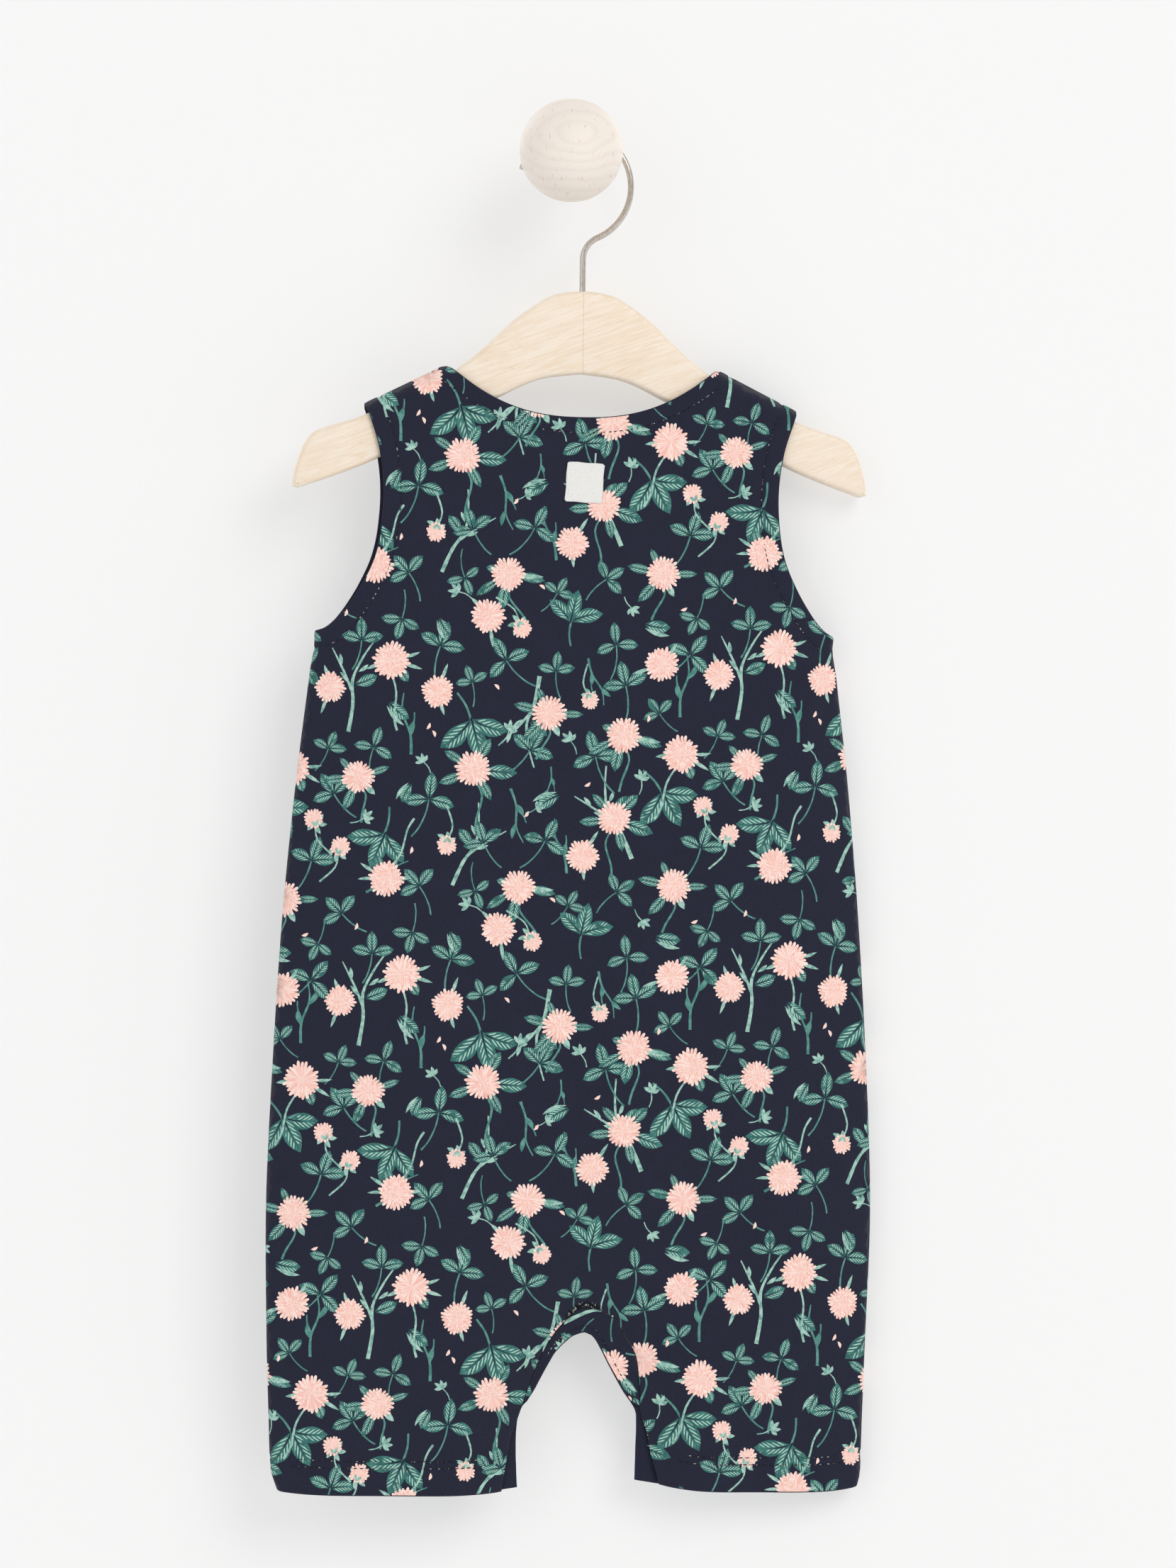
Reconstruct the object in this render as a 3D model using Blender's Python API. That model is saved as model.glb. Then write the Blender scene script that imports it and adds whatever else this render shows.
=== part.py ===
"""A baby's sleeveless romper on a wooden hanger, hung by its wire hook on a round wall knob.

Metres, +Z up. The wall is the plane y = 0 and the viewer is on the -Y side, looking at the
garment's back. The origin is the centre of the knob's flat foot, where it meets the wall.
Hanger and garment hang in a frame of their own, turned a little about the vertical, so that
one end of the hanger is nearer to the wall. In that frame x runs along the hanger, y is the
depth (back panel at -y, front panel at +y) and z is measured from the centre of the hook's arc.
Garment sizes are given as a depth below the two neck peaks.
"""

from math import asin, cos, exp, hypot, pi, radians, sin, sqrt

import bmesh
import bpy
from mathutils import Matrix, Vector

MM = 0.001
SHARP_ANGLE = radians(40.0)  # edges sharper than this stay crisp in the shading

# ---------------------------------------------------------------- driving dimensions (mm)
KNOB_BALL_RADIUS = 25.0
KNOB_BALL_REACH = 58.0       # wall to the ball's centre
KNOB_STEM_RADIUS = 10.1
KNOB_FOOT_RADIUS = 14.0
KNOB_FOOT_THICK = 4.0
KNOB_FOOT_ROUND = 1.0
KNOB_COVE = 1.5              # height of the slope between foot and stem
KNOB_STEPS, KNOB_SIDES = 14, 32
HOLE_SIDES, STUD_SIDES = 16, 16

HOOK_RADIUS = 27.3           # centreline of the wire's arc
WIRE_RADIUS = 1.5
HOOK_TIP_ANGLE = 164.0       # where the wire ends, degrees from +x
HOOK_NECK_ANGLE = -66.0      # where the arc ends and the wire bends back to the shank
HOOK_SHANK_SUNK = 16.0       # length of wire inside the wood
SHANK_HOLE_GAP = 0.35
HOOK_ARC_STEPS, HOOK_BEND_STEPS, HOOK_SHANK_STEPS = 26, 6, 4

HANG_CENTRE = (6.1, -26.0, -15.4)   # hanger's middle line, level with the hook's centre
HANG_YAW = 7.0               # degrees, right end towards the wall
HANG_ROLL = 0.8              # degrees, right end down
HOOK_OFFSET = -4.2           # the arc's centre from the hanger's middle line

HANGER_THICK = 12.0
HANGER_EDGE_ROUND = 2.4
CUTTER_OVERSHOOT = 6.0       # how far the shank hole's cutter stands above the wood

NECK_PEAK_Z = -87.9          # height of the neck peaks in the hanging frame
NECK_HALF_WIDTH = 66.3
SHOULDER_TIP_HALF = 105.8
SHOULDER_DROP = 19.7
BACK_NECK_DROP, BACK_NECK_POWER = 25.1, 2.4
FRONT_NECK_DROP, FRONT_NECK_POWER = 58.0, 2.2
UNDERARM_DEPTH = 131.0
CROTCH_X = 8.0               # the crotch lies a little to the right of the middle line
CROTCH_BLEND = 80.0          # height over which the middle column moves there

WALL = 1.2                   # cloth with its turned edges
SEAM_GAP = 0.3
EDGE_RADIUS = 2.6            # tight turn of the cloth at a side seam
EDGE_LEAN = radians(16.0)    # angle where the tight turn becomes the slow one
SHOULDER_CURL = 9.0          # height over which the cloth turns over the hanger's arm
PLACKET_HALF = 1.45          # outer face of the cloth at the crotch and inner legs
LEG_ROUND = 32.0             # distance over which a leg fills out from its inner edge
NECK_PEAK_ROUND = 2.0        # twice the height that rounding takes off a neck peak
FOLD_FREE_HALF = 5.0         # extra half thickness at which the cloth carries its full folds
BAND_SEAM_OFFSET = 0.42      # gap between a panel's edge and its placket band

LABEL_WIDTH, LABEL_HEIGHT, LABEL_THICK = 18.2, 19.4, 0.7
LABEL_CENTRE = (1.3, 56.5)   # x, depth
LABEL_TILT = 3.2             # degrees, clockwise

STUD_RADIUS, STUD_THICK = 4.4, 1.2
STUD_DEPTHS = (487.0, 512.0)     # the two studs of each leg
# Rings of a stud's cap: share of its radius, share of its thickness.
STUD_RINGS = ((0.62, 0.92), (0.9, 0.66), (1.0, 0.3), (0.96, 0.0))

# Outline of the armholes: depth, half width.
ARMHOLE = (
    (19.7, 105.8),
    (25.0, 103.6),
    (41.0, 98.7),
    (60.0, 96.3),
    (80.0, 97.3),
    (94.0, 100.3),
    (107.0, 106.1),
    (118.0, 112.8),
    (125.5, 118.8),
    (129.4, 124.0),
    (131.0, 128.6),
)
# The garment as a flattened tube: depth, width to the left, width to the right, half thickness.
# Above the underarm the widths are those the tube would have without its armholes.
TUBE = (
    (0.0, 165.0, 163.0, 8.1),
    (60.0, 152.0, 150.0, 8.4),
    (100.0, 138.0, 136.0, 9.0),
    (131.0, 128.6, 125.6, 9.4),
    (150.0, 130.6, 127.6, 9.8),
    (203.0, 136.6, 134.0, 10.8),
    (270.0, 142.4, 140.2, 11.4),
    (350.0, 146.5, 145.5, 11.2),
    (410.0, 148.3, 147.8, 10.2),
    (475.0, 147.1, 146.1, 8.6),
    (512.0, 145.6, 145.1, 7.6),
    (536.0, 144.2, 144.4, 7.0),
    (548.0, 140.6, 142.4, 6.8),
)
# Back panel's edge round the crotch: depth, x of the left leg's edge, x of the right leg's edge.
BACK_ARCH = (
    (456.4, 8.0, 8.0),
    (458.6, 2.6, 15.6),
    (463.0, -1.0, 22.6),
    (470.0, -6.9, 27.4),
    (481.0, -13.2, 33.4),
    (496.0, -19.4, 35.2),
    (509.0, -23.4, 36.4),
    (520.0, -27.2, 39.4),
    (532.0, -29.4, 41.2),
    (548.0, -31.9, 45.6),
)
# Free edge of the back placket band, between the legs.
BACK_EDGE = (
    (468.8, 8.0, 8.0),
    (470.0, 3.6, 11.6),
    (477.0, -4.8, 16.2),
    (484.0, -9.3, 19.8),
    (491.0, -13.1, 23.8),
    (498.0, -16.8, 27.8),
    (507.0, -22.5, 34.4),
)
# Front panel's edge round the crotch.
FRONT_ARCH = (
    (456.4, 8.0, 8.0),
    (458.6, 0.4, 17.0),
    (463.0, -6.4, 24.4),
    (470.0, -13.8, 30.6),
    (481.0, -21.2, 37.0),
    (496.0, -30.0, 43.6),
    (509.0, -35.6, 46.8),
    (524.0, -37.4, 47.4),
    (548.0, -36.8, 47.2),
)
# Free edge of the front placket band.
FRONT_EDGE = (
    (469.4, 8.0, 8.0),
    (471.0, 3.0, 12.0),
    (478.0, -5.0, 16.6),
    (485.0, -9.6, 20.2),
    (498.0, -17.2, 27.6),
    (507.0, -22.6, 33.6),
    (514.0, -24.6, 34.4),
    (528.0, -25.0, 34.2),
    (546.0, -24.2, 34.0),
)
# Soft folds: x, depth at the top, depth at the bottom, lean of x per mm of depth, half width, height.
BACK_FOLDS = (
    (62.0, 470.0, 560.0, 0.06, 17.0, 2.0),
    (92.0, 480.0, 560.0, 0.02, 15.0, -1.3),
    (-92.0, 485.0, 560.0, -0.03, 20.0, -1.2),
    (104.0, 120.0, 240.0, 0.16, 14.0, 1.6),
    (-78.0, 60.0, 190.0, -0.10, 18.0, -1.0),
)
FRONT_FOLDS = (
    (-64.0, 466.0, 560.0, -0.05, 17.0, 1.8),
    (86.0, 474.0, 560.0, 0.03, 18.0, 1.5),
    (-96.0, 118.0, 250.0, -0.14, 15.0, 1.8),
    (70.0, 70.0, 210.0, 0.10, 18.0, -1.1),
    (6.0, 250.0, 430.0, 0.02, 26.0, -1.0),
)
# Where the columns of a panel stand, as shares of the way from the middle to its side edge.
NECK_SHARE = NECK_HALF_WIDTH / SHOULDER_TIP_HALF
COLUMN_SHARES = (0.0, 0.13, 0.27, 0.4, 0.51, 0.575, 0.61, NECK_SHARE, 0.67, 0.75, 0.84, 0.92, 0.965, 0.987, 1.0)
UPPER_SHARES = (0.0, 0.02, 0.05, 0.09, 0.17, 0.32, 0.5, 0.68, 0.82, 0.92, 0.975)
TORSO_DEPTHS = (131.0, 138.0, 150.0, 170.0, 200.0, 235.0, 275.0, 315.0, 350.0, 385.0, 415.0, 438.0)
LEG_DEPTHS = (456.4, 457.2, 458.6, 463.0, 470.0, 477.0, 487.0, 498.0, 509.0, 522.0, 536.0, 544.0, 548.0)
CROTCH_DEPTH, HEM_DEPTH = LEG_DEPTHS[0], LEG_DEPTHS[-1]
BACK_BAND_END, FRONT_BAND_END = 509.0, HEM_DEPTH
# How the hems hang: lowest point of each leg and how much its two corners are raised.
HEM_START = 509.0
LEFT_HEM, RIGHT_HEM = (549.0, 2.1), (546.3, 3.3)

# Half of the hanger's outline: distance along it, height below the neck peaks.
HANGER_TOP = (
    (0.0, -36.6),
    (9.0, -35.9),
    (18.6, -32.7),
    (34.0, -21.8),
    (47.0, -9.4),
    (61.0, 1.9),
    (82.0, 13.6),
    (105.9, 25.2),
    (120.0, 30.0),
    (129.5, 33.4),
    (135.0, 39.5),
    (139.4, 52.0),
    (140.4, 60.4),
)
HANGER_BOTTOM = (
    (137.6, 61.2),
    (118.0, 54.2),
    (99.2, 46.2),
    (70.0, 31.2),
    (42.0, 16.4),
    (21.0, 6.6),
    (0.0, 3.5),
)

COLOURS = {
    "cloth": (0.019, 0.021, 0.045),
    "label": (0.78, 0.76, 0.72),
    "stud": (0.75, 0.74, 0.70),
    "birch": (0.80, 0.64, 0.44),
    "wire": (0.50, 0.48, 0.45),
    "beech": (0.78, 0.68, 0.54),
}


# ---------------------------------------------------------------- small helpers
def clear_scene():
    for thing in list(bpy.data.objects):
        bpy.data.objects.remove(thing)


def material(name, roughness, metallic=0.0):
    made = bpy.data.materials.new(name)
    made.use_nodes = True
    shader = made.node_tree.nodes["Principled BSDF"]
    shader.inputs["Base Color"].default_value = (*COLOURS[name], 1.0)
    shader.inputs["Roughness"].default_value = roughness
    shader.inputs["Metallic"].default_value = metallic
    return made


def add_object(name, mesh, finish, parent=None):
    made = bpy.data.objects.new(name, mesh)
    mesh.materials.append(finish)
    bpy.context.scene.collection.objects.link(made)
    made.parent = parent
    return made


def mesh_from(name, points, faces, smooth=True):
    """A mesh from points in millimetres, with its faces turned outwards."""
    shape = bmesh.new()
    made = [shape.verts.new(Vector(point) * MM) for point in points]
    for face in faces:
        shape.faces.new([made[index] for index in face])
    bmesh.ops.recalc_face_normals(shape, faces=shape.faces)
    mesh = bpy.data.meshes.new(name)
    shape.to_mesh(mesh)
    shape.free()
    if smooth:
        mesh.shade_smooth()
        mesh.set_sharp_from_angle(angle=SHARP_ANGLE)
    return mesh


def clamp(value, low, high):
    return max(low, min(high, value))


def ease(value):
    """0 to 1 along a smooth step."""
    share = clamp(value, 0.0, 1.0)
    return share * share * (3.0 - 2.0 * share)


def along(rows, at, column):
    """Reads a column of a table at any value of its first column, on a smooth curve."""
    last = len(rows) - 1
    if at <= rows[0][0]:
        return rows[0][column]
    if at >= rows[last][0]:
        return rows[last][column]
    upper = next(i for i in range(1, last + 1) if rows[i][0] >= at)
    lower = upper - 1

    def slope(index):
        before, after = rows[max(index - 1, 0)], rows[min(index + 1, last)]
        return (after[column] - before[column]) / (after[0] - before[0])

    span = rows[upper][0] - rows[lower][0]
    share = (at - rows[lower][0]) / span
    square, cube = share * share, share ** 3
    return (
        (2 * cube - 3 * square + 1) * rows[lower][column]
        + (cube - 2 * square + share) * span * slope(lower)
        + (3 * square - 2 * cube) * rows[upper][column]
        + (cube - square) * span * slope(upper)
    )


# ---------------------------------------------------------------- the flattened tube of cloth
def slow_radius(thick):
    """Radius of the slow turn that brings the cloth from its tight turn to full thickness."""
    return (thick - EDGE_RADIUS * cos(EDGE_LEAN)) / (1.0 - cos(EDGE_LEAN))


def tight_length():
    return EDGE_RADIUS * (pi / 2 - EDGE_LEAN)


def turn_inset(thick):
    """How far in from the side edge the cloth is flat."""
    return EDGE_RADIUS * (1.0 - sin(EDGE_LEAN)) + slow_radius(thick) * sin(EDGE_LEAN)


def turn_length(thick):
    """Length of cloth in the two turns."""
    return tight_length() + slow_radius(thick) * EDGE_LEAN


def half_cloth(depth, hand):
    """Length of cloth from the middle line to the side seam; hand is -1 left, +1 right."""
    width, thick = along(TUBE, depth, 1 if hand < 0 else 2), along(TUBE, depth, 3)
    return width - turn_inset(thick) + turn_length(thick)


def tube_section(cloth, depth):
    """Sideways place and half thickness of the point that lies so much cloth from the middle."""
    hand = -1 if cloth < 0 else 1
    width, thick = along(TUBE, depth, 1 if hand < 0 else 2), along(TUBE, depth, 3)
    from_seam = half_cloth(depth, hand) - abs(cloth)
    slow = slow_radius(thick)
    if from_seam < tight_length():
        angle = pi / 2 - from_seam / EDGE_RADIUS
        return hand * (width - EDGE_RADIUS * (1.0 - sin(angle))), EDGE_RADIUS * cos(angle)
    if from_seam < turn_length(thick):
        angle = EDGE_LEAN - (from_seam - tight_length()) / slow
        inset = EDGE_RADIUS * (1.0 - sin(EDGE_LEAN)) + slow * (sin(EDGE_LEAN) - sin(angle))
        return hand * (width - inset), EDGE_RADIUS * cos(EDGE_LEAN) + slow * (cos(angle) - cos(EDGE_LEAN))
    return cloth, thick


def cloth_at(x, depth):
    """Length of cloth from the middle line to the point at this sideways place."""
    hand = -1 if x < 0 else 1
    width, thick = along(TUBE, depth, 1 if hand < 0 else 2), along(TUBE, depth, 3)
    inset, slow = width - abs(x), slow_radius(thick)
    tight_inset = EDGE_RADIUS * (1.0 - sin(EDGE_LEAN))
    if inset < tight_inset:
        angle = asin(clamp(1.0 - inset / EDGE_RADIUS, -1.0, 1.0))
        from_seam = EDGE_RADIUS * (pi / 2 - angle)
    elif inset < turn_inset(thick):
        angle = asin(sin(EDGE_LEAN) - (inset - tight_inset) / slow)
        from_seam = tight_length() + slow * (EDGE_LEAN - angle)
    else:
        from_seam = turn_length(thick) + inset - turn_inset(thick)
    return hand * (half_cloth(depth, hand) - from_seam)


def arch_points(arch):
    left = [(row[1], row[0]) for row in reversed(arch)]
    right = [(row[2], row[0]) for row in arch[1:]]
    return left + right


def distance_to(points, x, depth):
    """Shortest distance from a point to a line of points."""
    best = 1e9
    for (ax, ad), (bx, bd) in zip(points, points[1:]):
        along_x, along_d = bx - ax, bd - ad
        share = clamp(((x - ax) * along_x + (depth - ad) * along_d) / (along_x ** 2 + along_d ** 2), 0, 1)
        best = min(best, hypot(x - ax - share * along_x, depth - ad - share * along_d))
    return best


def leg_depth(depth, hand, share):
    """Depth of a leg's row here, once the hem's own shape is added; share is 0 at the inner edge."""
    lowest, raised = LEFT_HEM if hand < 0 else RIGHT_HEM
    hem = lowest - raised * (2.0 * share - 1.0) ** 4
    return depth + (hem - HEM_DEPTH) * ease((depth - HEM_START) / (HEM_DEPTH - HEM_START))


def fold_height(folds, x, depth):
    """Height of the soft folds here; each fades out towards its two ends, or runs to the hem."""
    height = 0.0
    for fold_x, top, bottom, lean, half, rise in folds:
        reach = (depth - top) / (bottom - top)
        if 0.0 < reach < 1.0:
            aside = (x - fold_x - lean * (depth - top)) / half
            fade = sin(pi * min(reach, 0.5)) if bottom > HEM_DEPTH else sin(pi * reach)
            height += rise * fade * exp(-aside * aside)
    return height


def shoulder_line(x):
    """Depth of the straight shoulder, carried on across the neck."""
    return (abs(x) - NECK_HALF_WIDTH) * SHOULDER_DROP / (SHOULDER_TIP_HALF - NECK_HALF_WIDTH)


class Panel:
    """One panel of the garment: side is -1 for the back and +1 for the front."""

    def __init__(self, side, neck_drop, neck_power, arch, folds):
        self.side = side
        self.neck_drop = neck_drop
        self.neck_power = neck_power
        self.arch = arch
        self.arch_line = arch_points(arch)
        self.folds = folds

    def half_thickness(self, x, depth, thick):
        """Distance of the outer face from the middle plane."""
        curl = clamp((depth - shoulder_line(x)) / SHOULDER_CURL, 0.0, 1.0)
        thick *= sqrt(1.0 - (1.0 - curl) ** 2)
        if depth > CROTCH_DEPTH - LEG_ROUND and thick > PLACKET_HALF:
            near = clamp(distance_to(self.arch_line, x, depth) / LEG_ROUND, 0.0, 1.0)
            thick = PLACKET_HALF + (thick - PLACKET_HALF) * (1.0 - (1.0 - near) ** 2)
        settled = ease((thick - PLACKET_HALF) / FOLD_FREE_HALF)
        return thick + fold_height(self.folds, x, depth) * settled

    def point(self, cloth, depth):
        """A point of the outer face, in the hanging frame."""
        x, thick = tube_section(cloth, depth)
        thick = self.half_thickness(x, depth, thick)
        return Vector((x, self.side * (thick + SEAM_GAP / 2), NECK_PEAK_Z - depth))

    def normal(self, cloth, depth, step=0.25):
        across = self.point(cloth + step, depth) - self.point(cloth - step, depth)
        down = self.point(cloth, depth + step) - self.point(cloth, depth - step)
        return (across.cross(down) * self.side).normalized()

    def inner_point(self, cloth, depth):
        """The same place on the inner face, kept on its own side of the seam."""
        inner = self.point(cloth, depth) - self.normal(cloth, depth) * WALL
        inner.y = self.side * max(self.side * inner.y, SEAM_GAP / 2)
        return inner

    def top_edge(self, x):
        """Depth of the neckline or the shoulder here, with the peak between them rounded."""
        neck = self.neck_drop * (1.0 - (abs(x) / NECK_HALF_WIDTH) ** self.neck_power)
        shoulder = shoulder_line(x)
        return (neck + shoulder + hypot(neck - shoulder, NECK_PEAK_ROUND)) / 2

    def top_of(self, share):
        """Depth of the top edge in a column, which leans out as the armhole's edge does."""
        depth = 0.0
        for _ in range(6):
            depth = self.top_edge(share * along(ARMHOLE, depth, 1))
        return depth

    def rows(self):
        """Rows of (cloth length, depth) from the top edge to the crotch, left to right."""
        shares = [(-1, s) for s in reversed(COLUMN_SHARES[1:])] + [(1, s) for s in COLUMN_SHARES]
        rows = []
        for fall in UPPER_SHARES:
            row = []
            for hand, share in shares:
                top = self.top_of(share)
                depth = top + (UNDERARM_DEPTH - top) * fall
                edge = abs(cloth_at(hand * along(ARMHOLE, depth, 1), depth))
                row.append((hand * share * edge, depth))
            rows.append(row)
        for depth in TORSO_DEPTHS:
            middle = CROTCH_X * ease((depth - (CROTCH_DEPTH - CROTCH_BLEND)) / CROTCH_BLEND)
            row = []
            for hand, share in shares:
                edge = hand * half_cloth(depth, hand)
                row.append((middle + share * (edge - middle), depth))
            rows.append(row)
        return rows

    def leg_rows(self, hand):
        """Rows of a leg, from its inner edge to its side seam."""
        column = 1 if hand < 0 else 2
        rows = []
        for depth in LEG_DEPTHS:
            inner = along(self.arch, depth, column)
            edge = hand * half_cloth(depth, hand)
            rows.append(
                [(inner + share * (edge - inner), leg_depth(depth, hand, share)) for share in COLUMN_SHARES]
            )
        return rows


def panel_object(name, panel, finish, parent):
    """Outer and inner face of a panel and the rim between them, as one closed wall."""
    places, index_of, faces = [], {}, []

    def index(place):
        key = (round(place[0], 4), round(place[1], 4))
        if key not in index_of:
            index_of[key] = len(places)
            places.append(place)
        return index_of[key]

    def add_rows(rows):
        for upper, lower in zip(rows, rows[1:]):
            for left in range(len(upper) - 1):
                corners = (upper[left], upper[left + 1], lower[left + 1], lower[left])
                faces.append([index(corner) for corner in corners])

    body = panel.rows()
    legs = {hand: panel.leg_rows(hand) for hand in (-1, 1)}
    crotch = list(reversed(legs[-1][0][1:])) + legs[1][0]
    add_rows(body + [crotch])
    add_rows(legs[1])
    add_rows([list(reversed(row)) for row in legs[-1]])

    count = len(places)
    points = [panel.point(*place) for place in places]
    points += [panel.inner_point(*place) for place in places]
    edges = {}
    for face in faces:
        for start, end in zip(face, face[1:] + face[:1]):
            edges[(start, end)] = True
    rim = [(a, b, b + count, a + count) for a, b in edges if (b, a) not in edges]
    inner = [[corner + count for corner in reversed(face)] for face in faces]
    return add_object(name, mesh_from(name, points, faces + inner + rim), finish, parent)


# ---------------------------------------------------------------- bands, label and studs
def turned_shape(rings, ends, middle, sides):
    """A shape turned about a line along y: rings of (radius, y) and a point at each end."""
    points = [(middle[0], ends[0], middle[1])]
    for radius, y in rings:
        for side in range(sides):
            angle = 2 * pi * side / sides
            points.append((middle[0] + radius * cos(angle), y, middle[1] + radius * sin(angle)))
    points.append((middle[0], ends[1], middle[1]))
    last = 1 + (len(rings) - 1) * sides
    faces = []
    for side in range(sides):
        after = (side + 1) % sides
        faces.append((0, 1 + side, 1 + after))
        faces.append((last + side, last + after, len(points) - 1))
        for ring in range(len(rings) - 1):
            first = 1 + ring * sides
            faces.append((first + side, first + after, first + after + sides, first + side + sides))
    return points, faces


def band_object(name, side, arch, free_edge, end, finish, parent):
    """A placket band: a flat strip from the panel's edge to the free edge, leg to leg."""
    outer_face = side * (PLACKET_HALF + SEAM_GAP / 2)
    inner_face = side * (PLACKET_HALF + SEAM_GAP / 2 - WALL)
    top, bottom = free_edge[0][0], free_edge[-1][0]
    depths = [depth for depth in LEG_DEPTHS if depth <= end]
    stops = [(1, depth) for depth in reversed(depths[1:])] + [(2, depth) for depth in depths]
    stations = []
    for column, depth in stops:
        hand = -1 if column == 1 else 1
        share = (depth - CROTCH_DEPTH) / (end - CROTCH_DEPTH)
        edge_depth = top + (bottom - top) * share
        seam = Vector((along(arch, depth, column), leg_depth(depth, hand, 0.0)))
        free = Vector((along(free_edge, edge_depth, column), leg_depth(edge_depth, hand, 0.0)))
        reach = along(arch, depth + SEAM_GAP, column) - along(arch, depth - SEAM_GAP, column)
        seam -= Vector((2 * SEAM_GAP, -reach)).normalized() * hand * BAND_SEAM_OFFSET
        stations.append([seam.lerp(free, place) for place in (0.0, 0.5, 1.0)])
    points, faces = [], []
    for face_y in (outer_face, inner_face):
        for station in stations:
            points += [(place.x, face_y, NECK_PEAK_Z - place.y) for place in station]
    wide, half = 3, 3 * len(stations)
    for station in range(len(stations) - 1):
        for across in range(wide - 1):
            corner = station * wide + across
            quad = (corner, corner + 1, corner + wide + 1, corner + wide)
            faces += [quad, tuple(i + half for i in reversed(quad))]
        for across in (0, wide - 1):
            corner = station * wide + across
            faces.append((corner, corner + wide, corner + wide + half, corner + half))
    for corner in (0, half - wide):
        for across in range(wide - 1):
            start = corner + across
            faces.append((start, start + 1, start + 1 + half, start + half))
    return add_object(name, mesh_from(name, points, faces), finish, parent)


def label_object(panel, finish, parent):
    """A woven label made from the back panel's own points, moved out."""
    across, down = 5, 5
    turn = Matrix.Rotation(radians(LABEL_TILT), 2)
    points, faces = [], []
    for lift in (SEAM_GAP + LABEL_THICK, SEAM_GAP):
        for row in range(down + 1):
            for column in range(across + 1):
                offset = Vector((LABEL_WIDTH * (column / across - 0.5), LABEL_HEIGHT * (row / down - 0.5)))
                offset = turn @ offset
                place = (LABEL_CENTRE[0] + offset.x, LABEL_CENTRE[1] + offset.y)
                points.append(panel.point(*place) + panel.normal(*place) * lift)
    wide, half = across + 1, (across + 1) * (down + 1)
    for row in range(down):
        for column in range(across):
            corner = row * wide + column
            quad = (corner, corner + 1, corner + wide + 1, corner + wide)
            faces += [quad, tuple(i + half for i in reversed(quad))]
    border = [i for i in range(across)]
    border += [i * wide + across for i in range(down)]
    border += [down * wide + across - i for i in range(across)]
    border += [(down - i) * wide for i in range(down)]
    for start, end in zip(border, border[1:] + border[:1]):
        faces.append((start, end, end + half, start + half))
    return add_object("label", mesh_from("label", points, faces), finish, parent)


def stud_places():
    """Middle of the front placket band at the crotch and twice down each leg."""
    places = [(CROTCH_X, (CROTCH_DEPTH + FRONT_EDGE[0][0]) / 2)]
    for depth in STUD_DEPTHS:
        for column in (1, 2):
            places.append(((along(FRONT_ARCH, depth, column) + along(FRONT_EDGE, depth, column)) / 2, depth))
    return places


def stud_object(name, place, finish, parent):
    """A plain press-stud cap with a domed face, on the front of the placket."""
    seat = PLACKET_HALF + SEAM_GAP * 1.5     # the band's outer face and a seam's gap
    rings = [(STUD_RADIUS * out, seat + STUD_THICK * up) for out, up in STUD_RINGS]
    middle = (place[0], NECK_PEAK_Z - place[1])
    points, faces = turned_shape(rings, (seat + STUD_THICK, seat), middle, STUD_SIDES)
    return add_object(name, mesh_from(name, points, faces), finish, parent)


# ---------------------------------------------------------------- hanger, hook and knob
def curve_through(points, steps):
    """Points on a smooth curve through these, with so many steps between two of them."""
    made = []
    last = len(points) - 1
    for i in range(last):
        before, start = Vector(points[max(i - 1, 0)]), Vector(points[i])
        end, after = Vector(points[i + 1]), Vector(points[min(i + 2, last)])
        for step in range(steps):
            t = step / steps
            made.append(
                0.5
                * (
                    2 * start
                    + (end - before) * t
                    + (2 * before - 5 * start + 4 * end - after) * t ** 2
                    + (3 * start - before - 3 * end + after) * t ** 3
                )
            )
    return made + [Vector(points[last])]


def hanger_outline():
    """The whole outline, clockwise from the top of the hump as the viewer sees it."""
    top = curve_through(HANGER_TOP, 2)
    bottom = curve_through(HANGER_BOTTOM, 3)
    right = top + bottom
    left = [Vector((-p.x, p.y)) for p in reversed(right[1:-1])]
    return right + left


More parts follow.
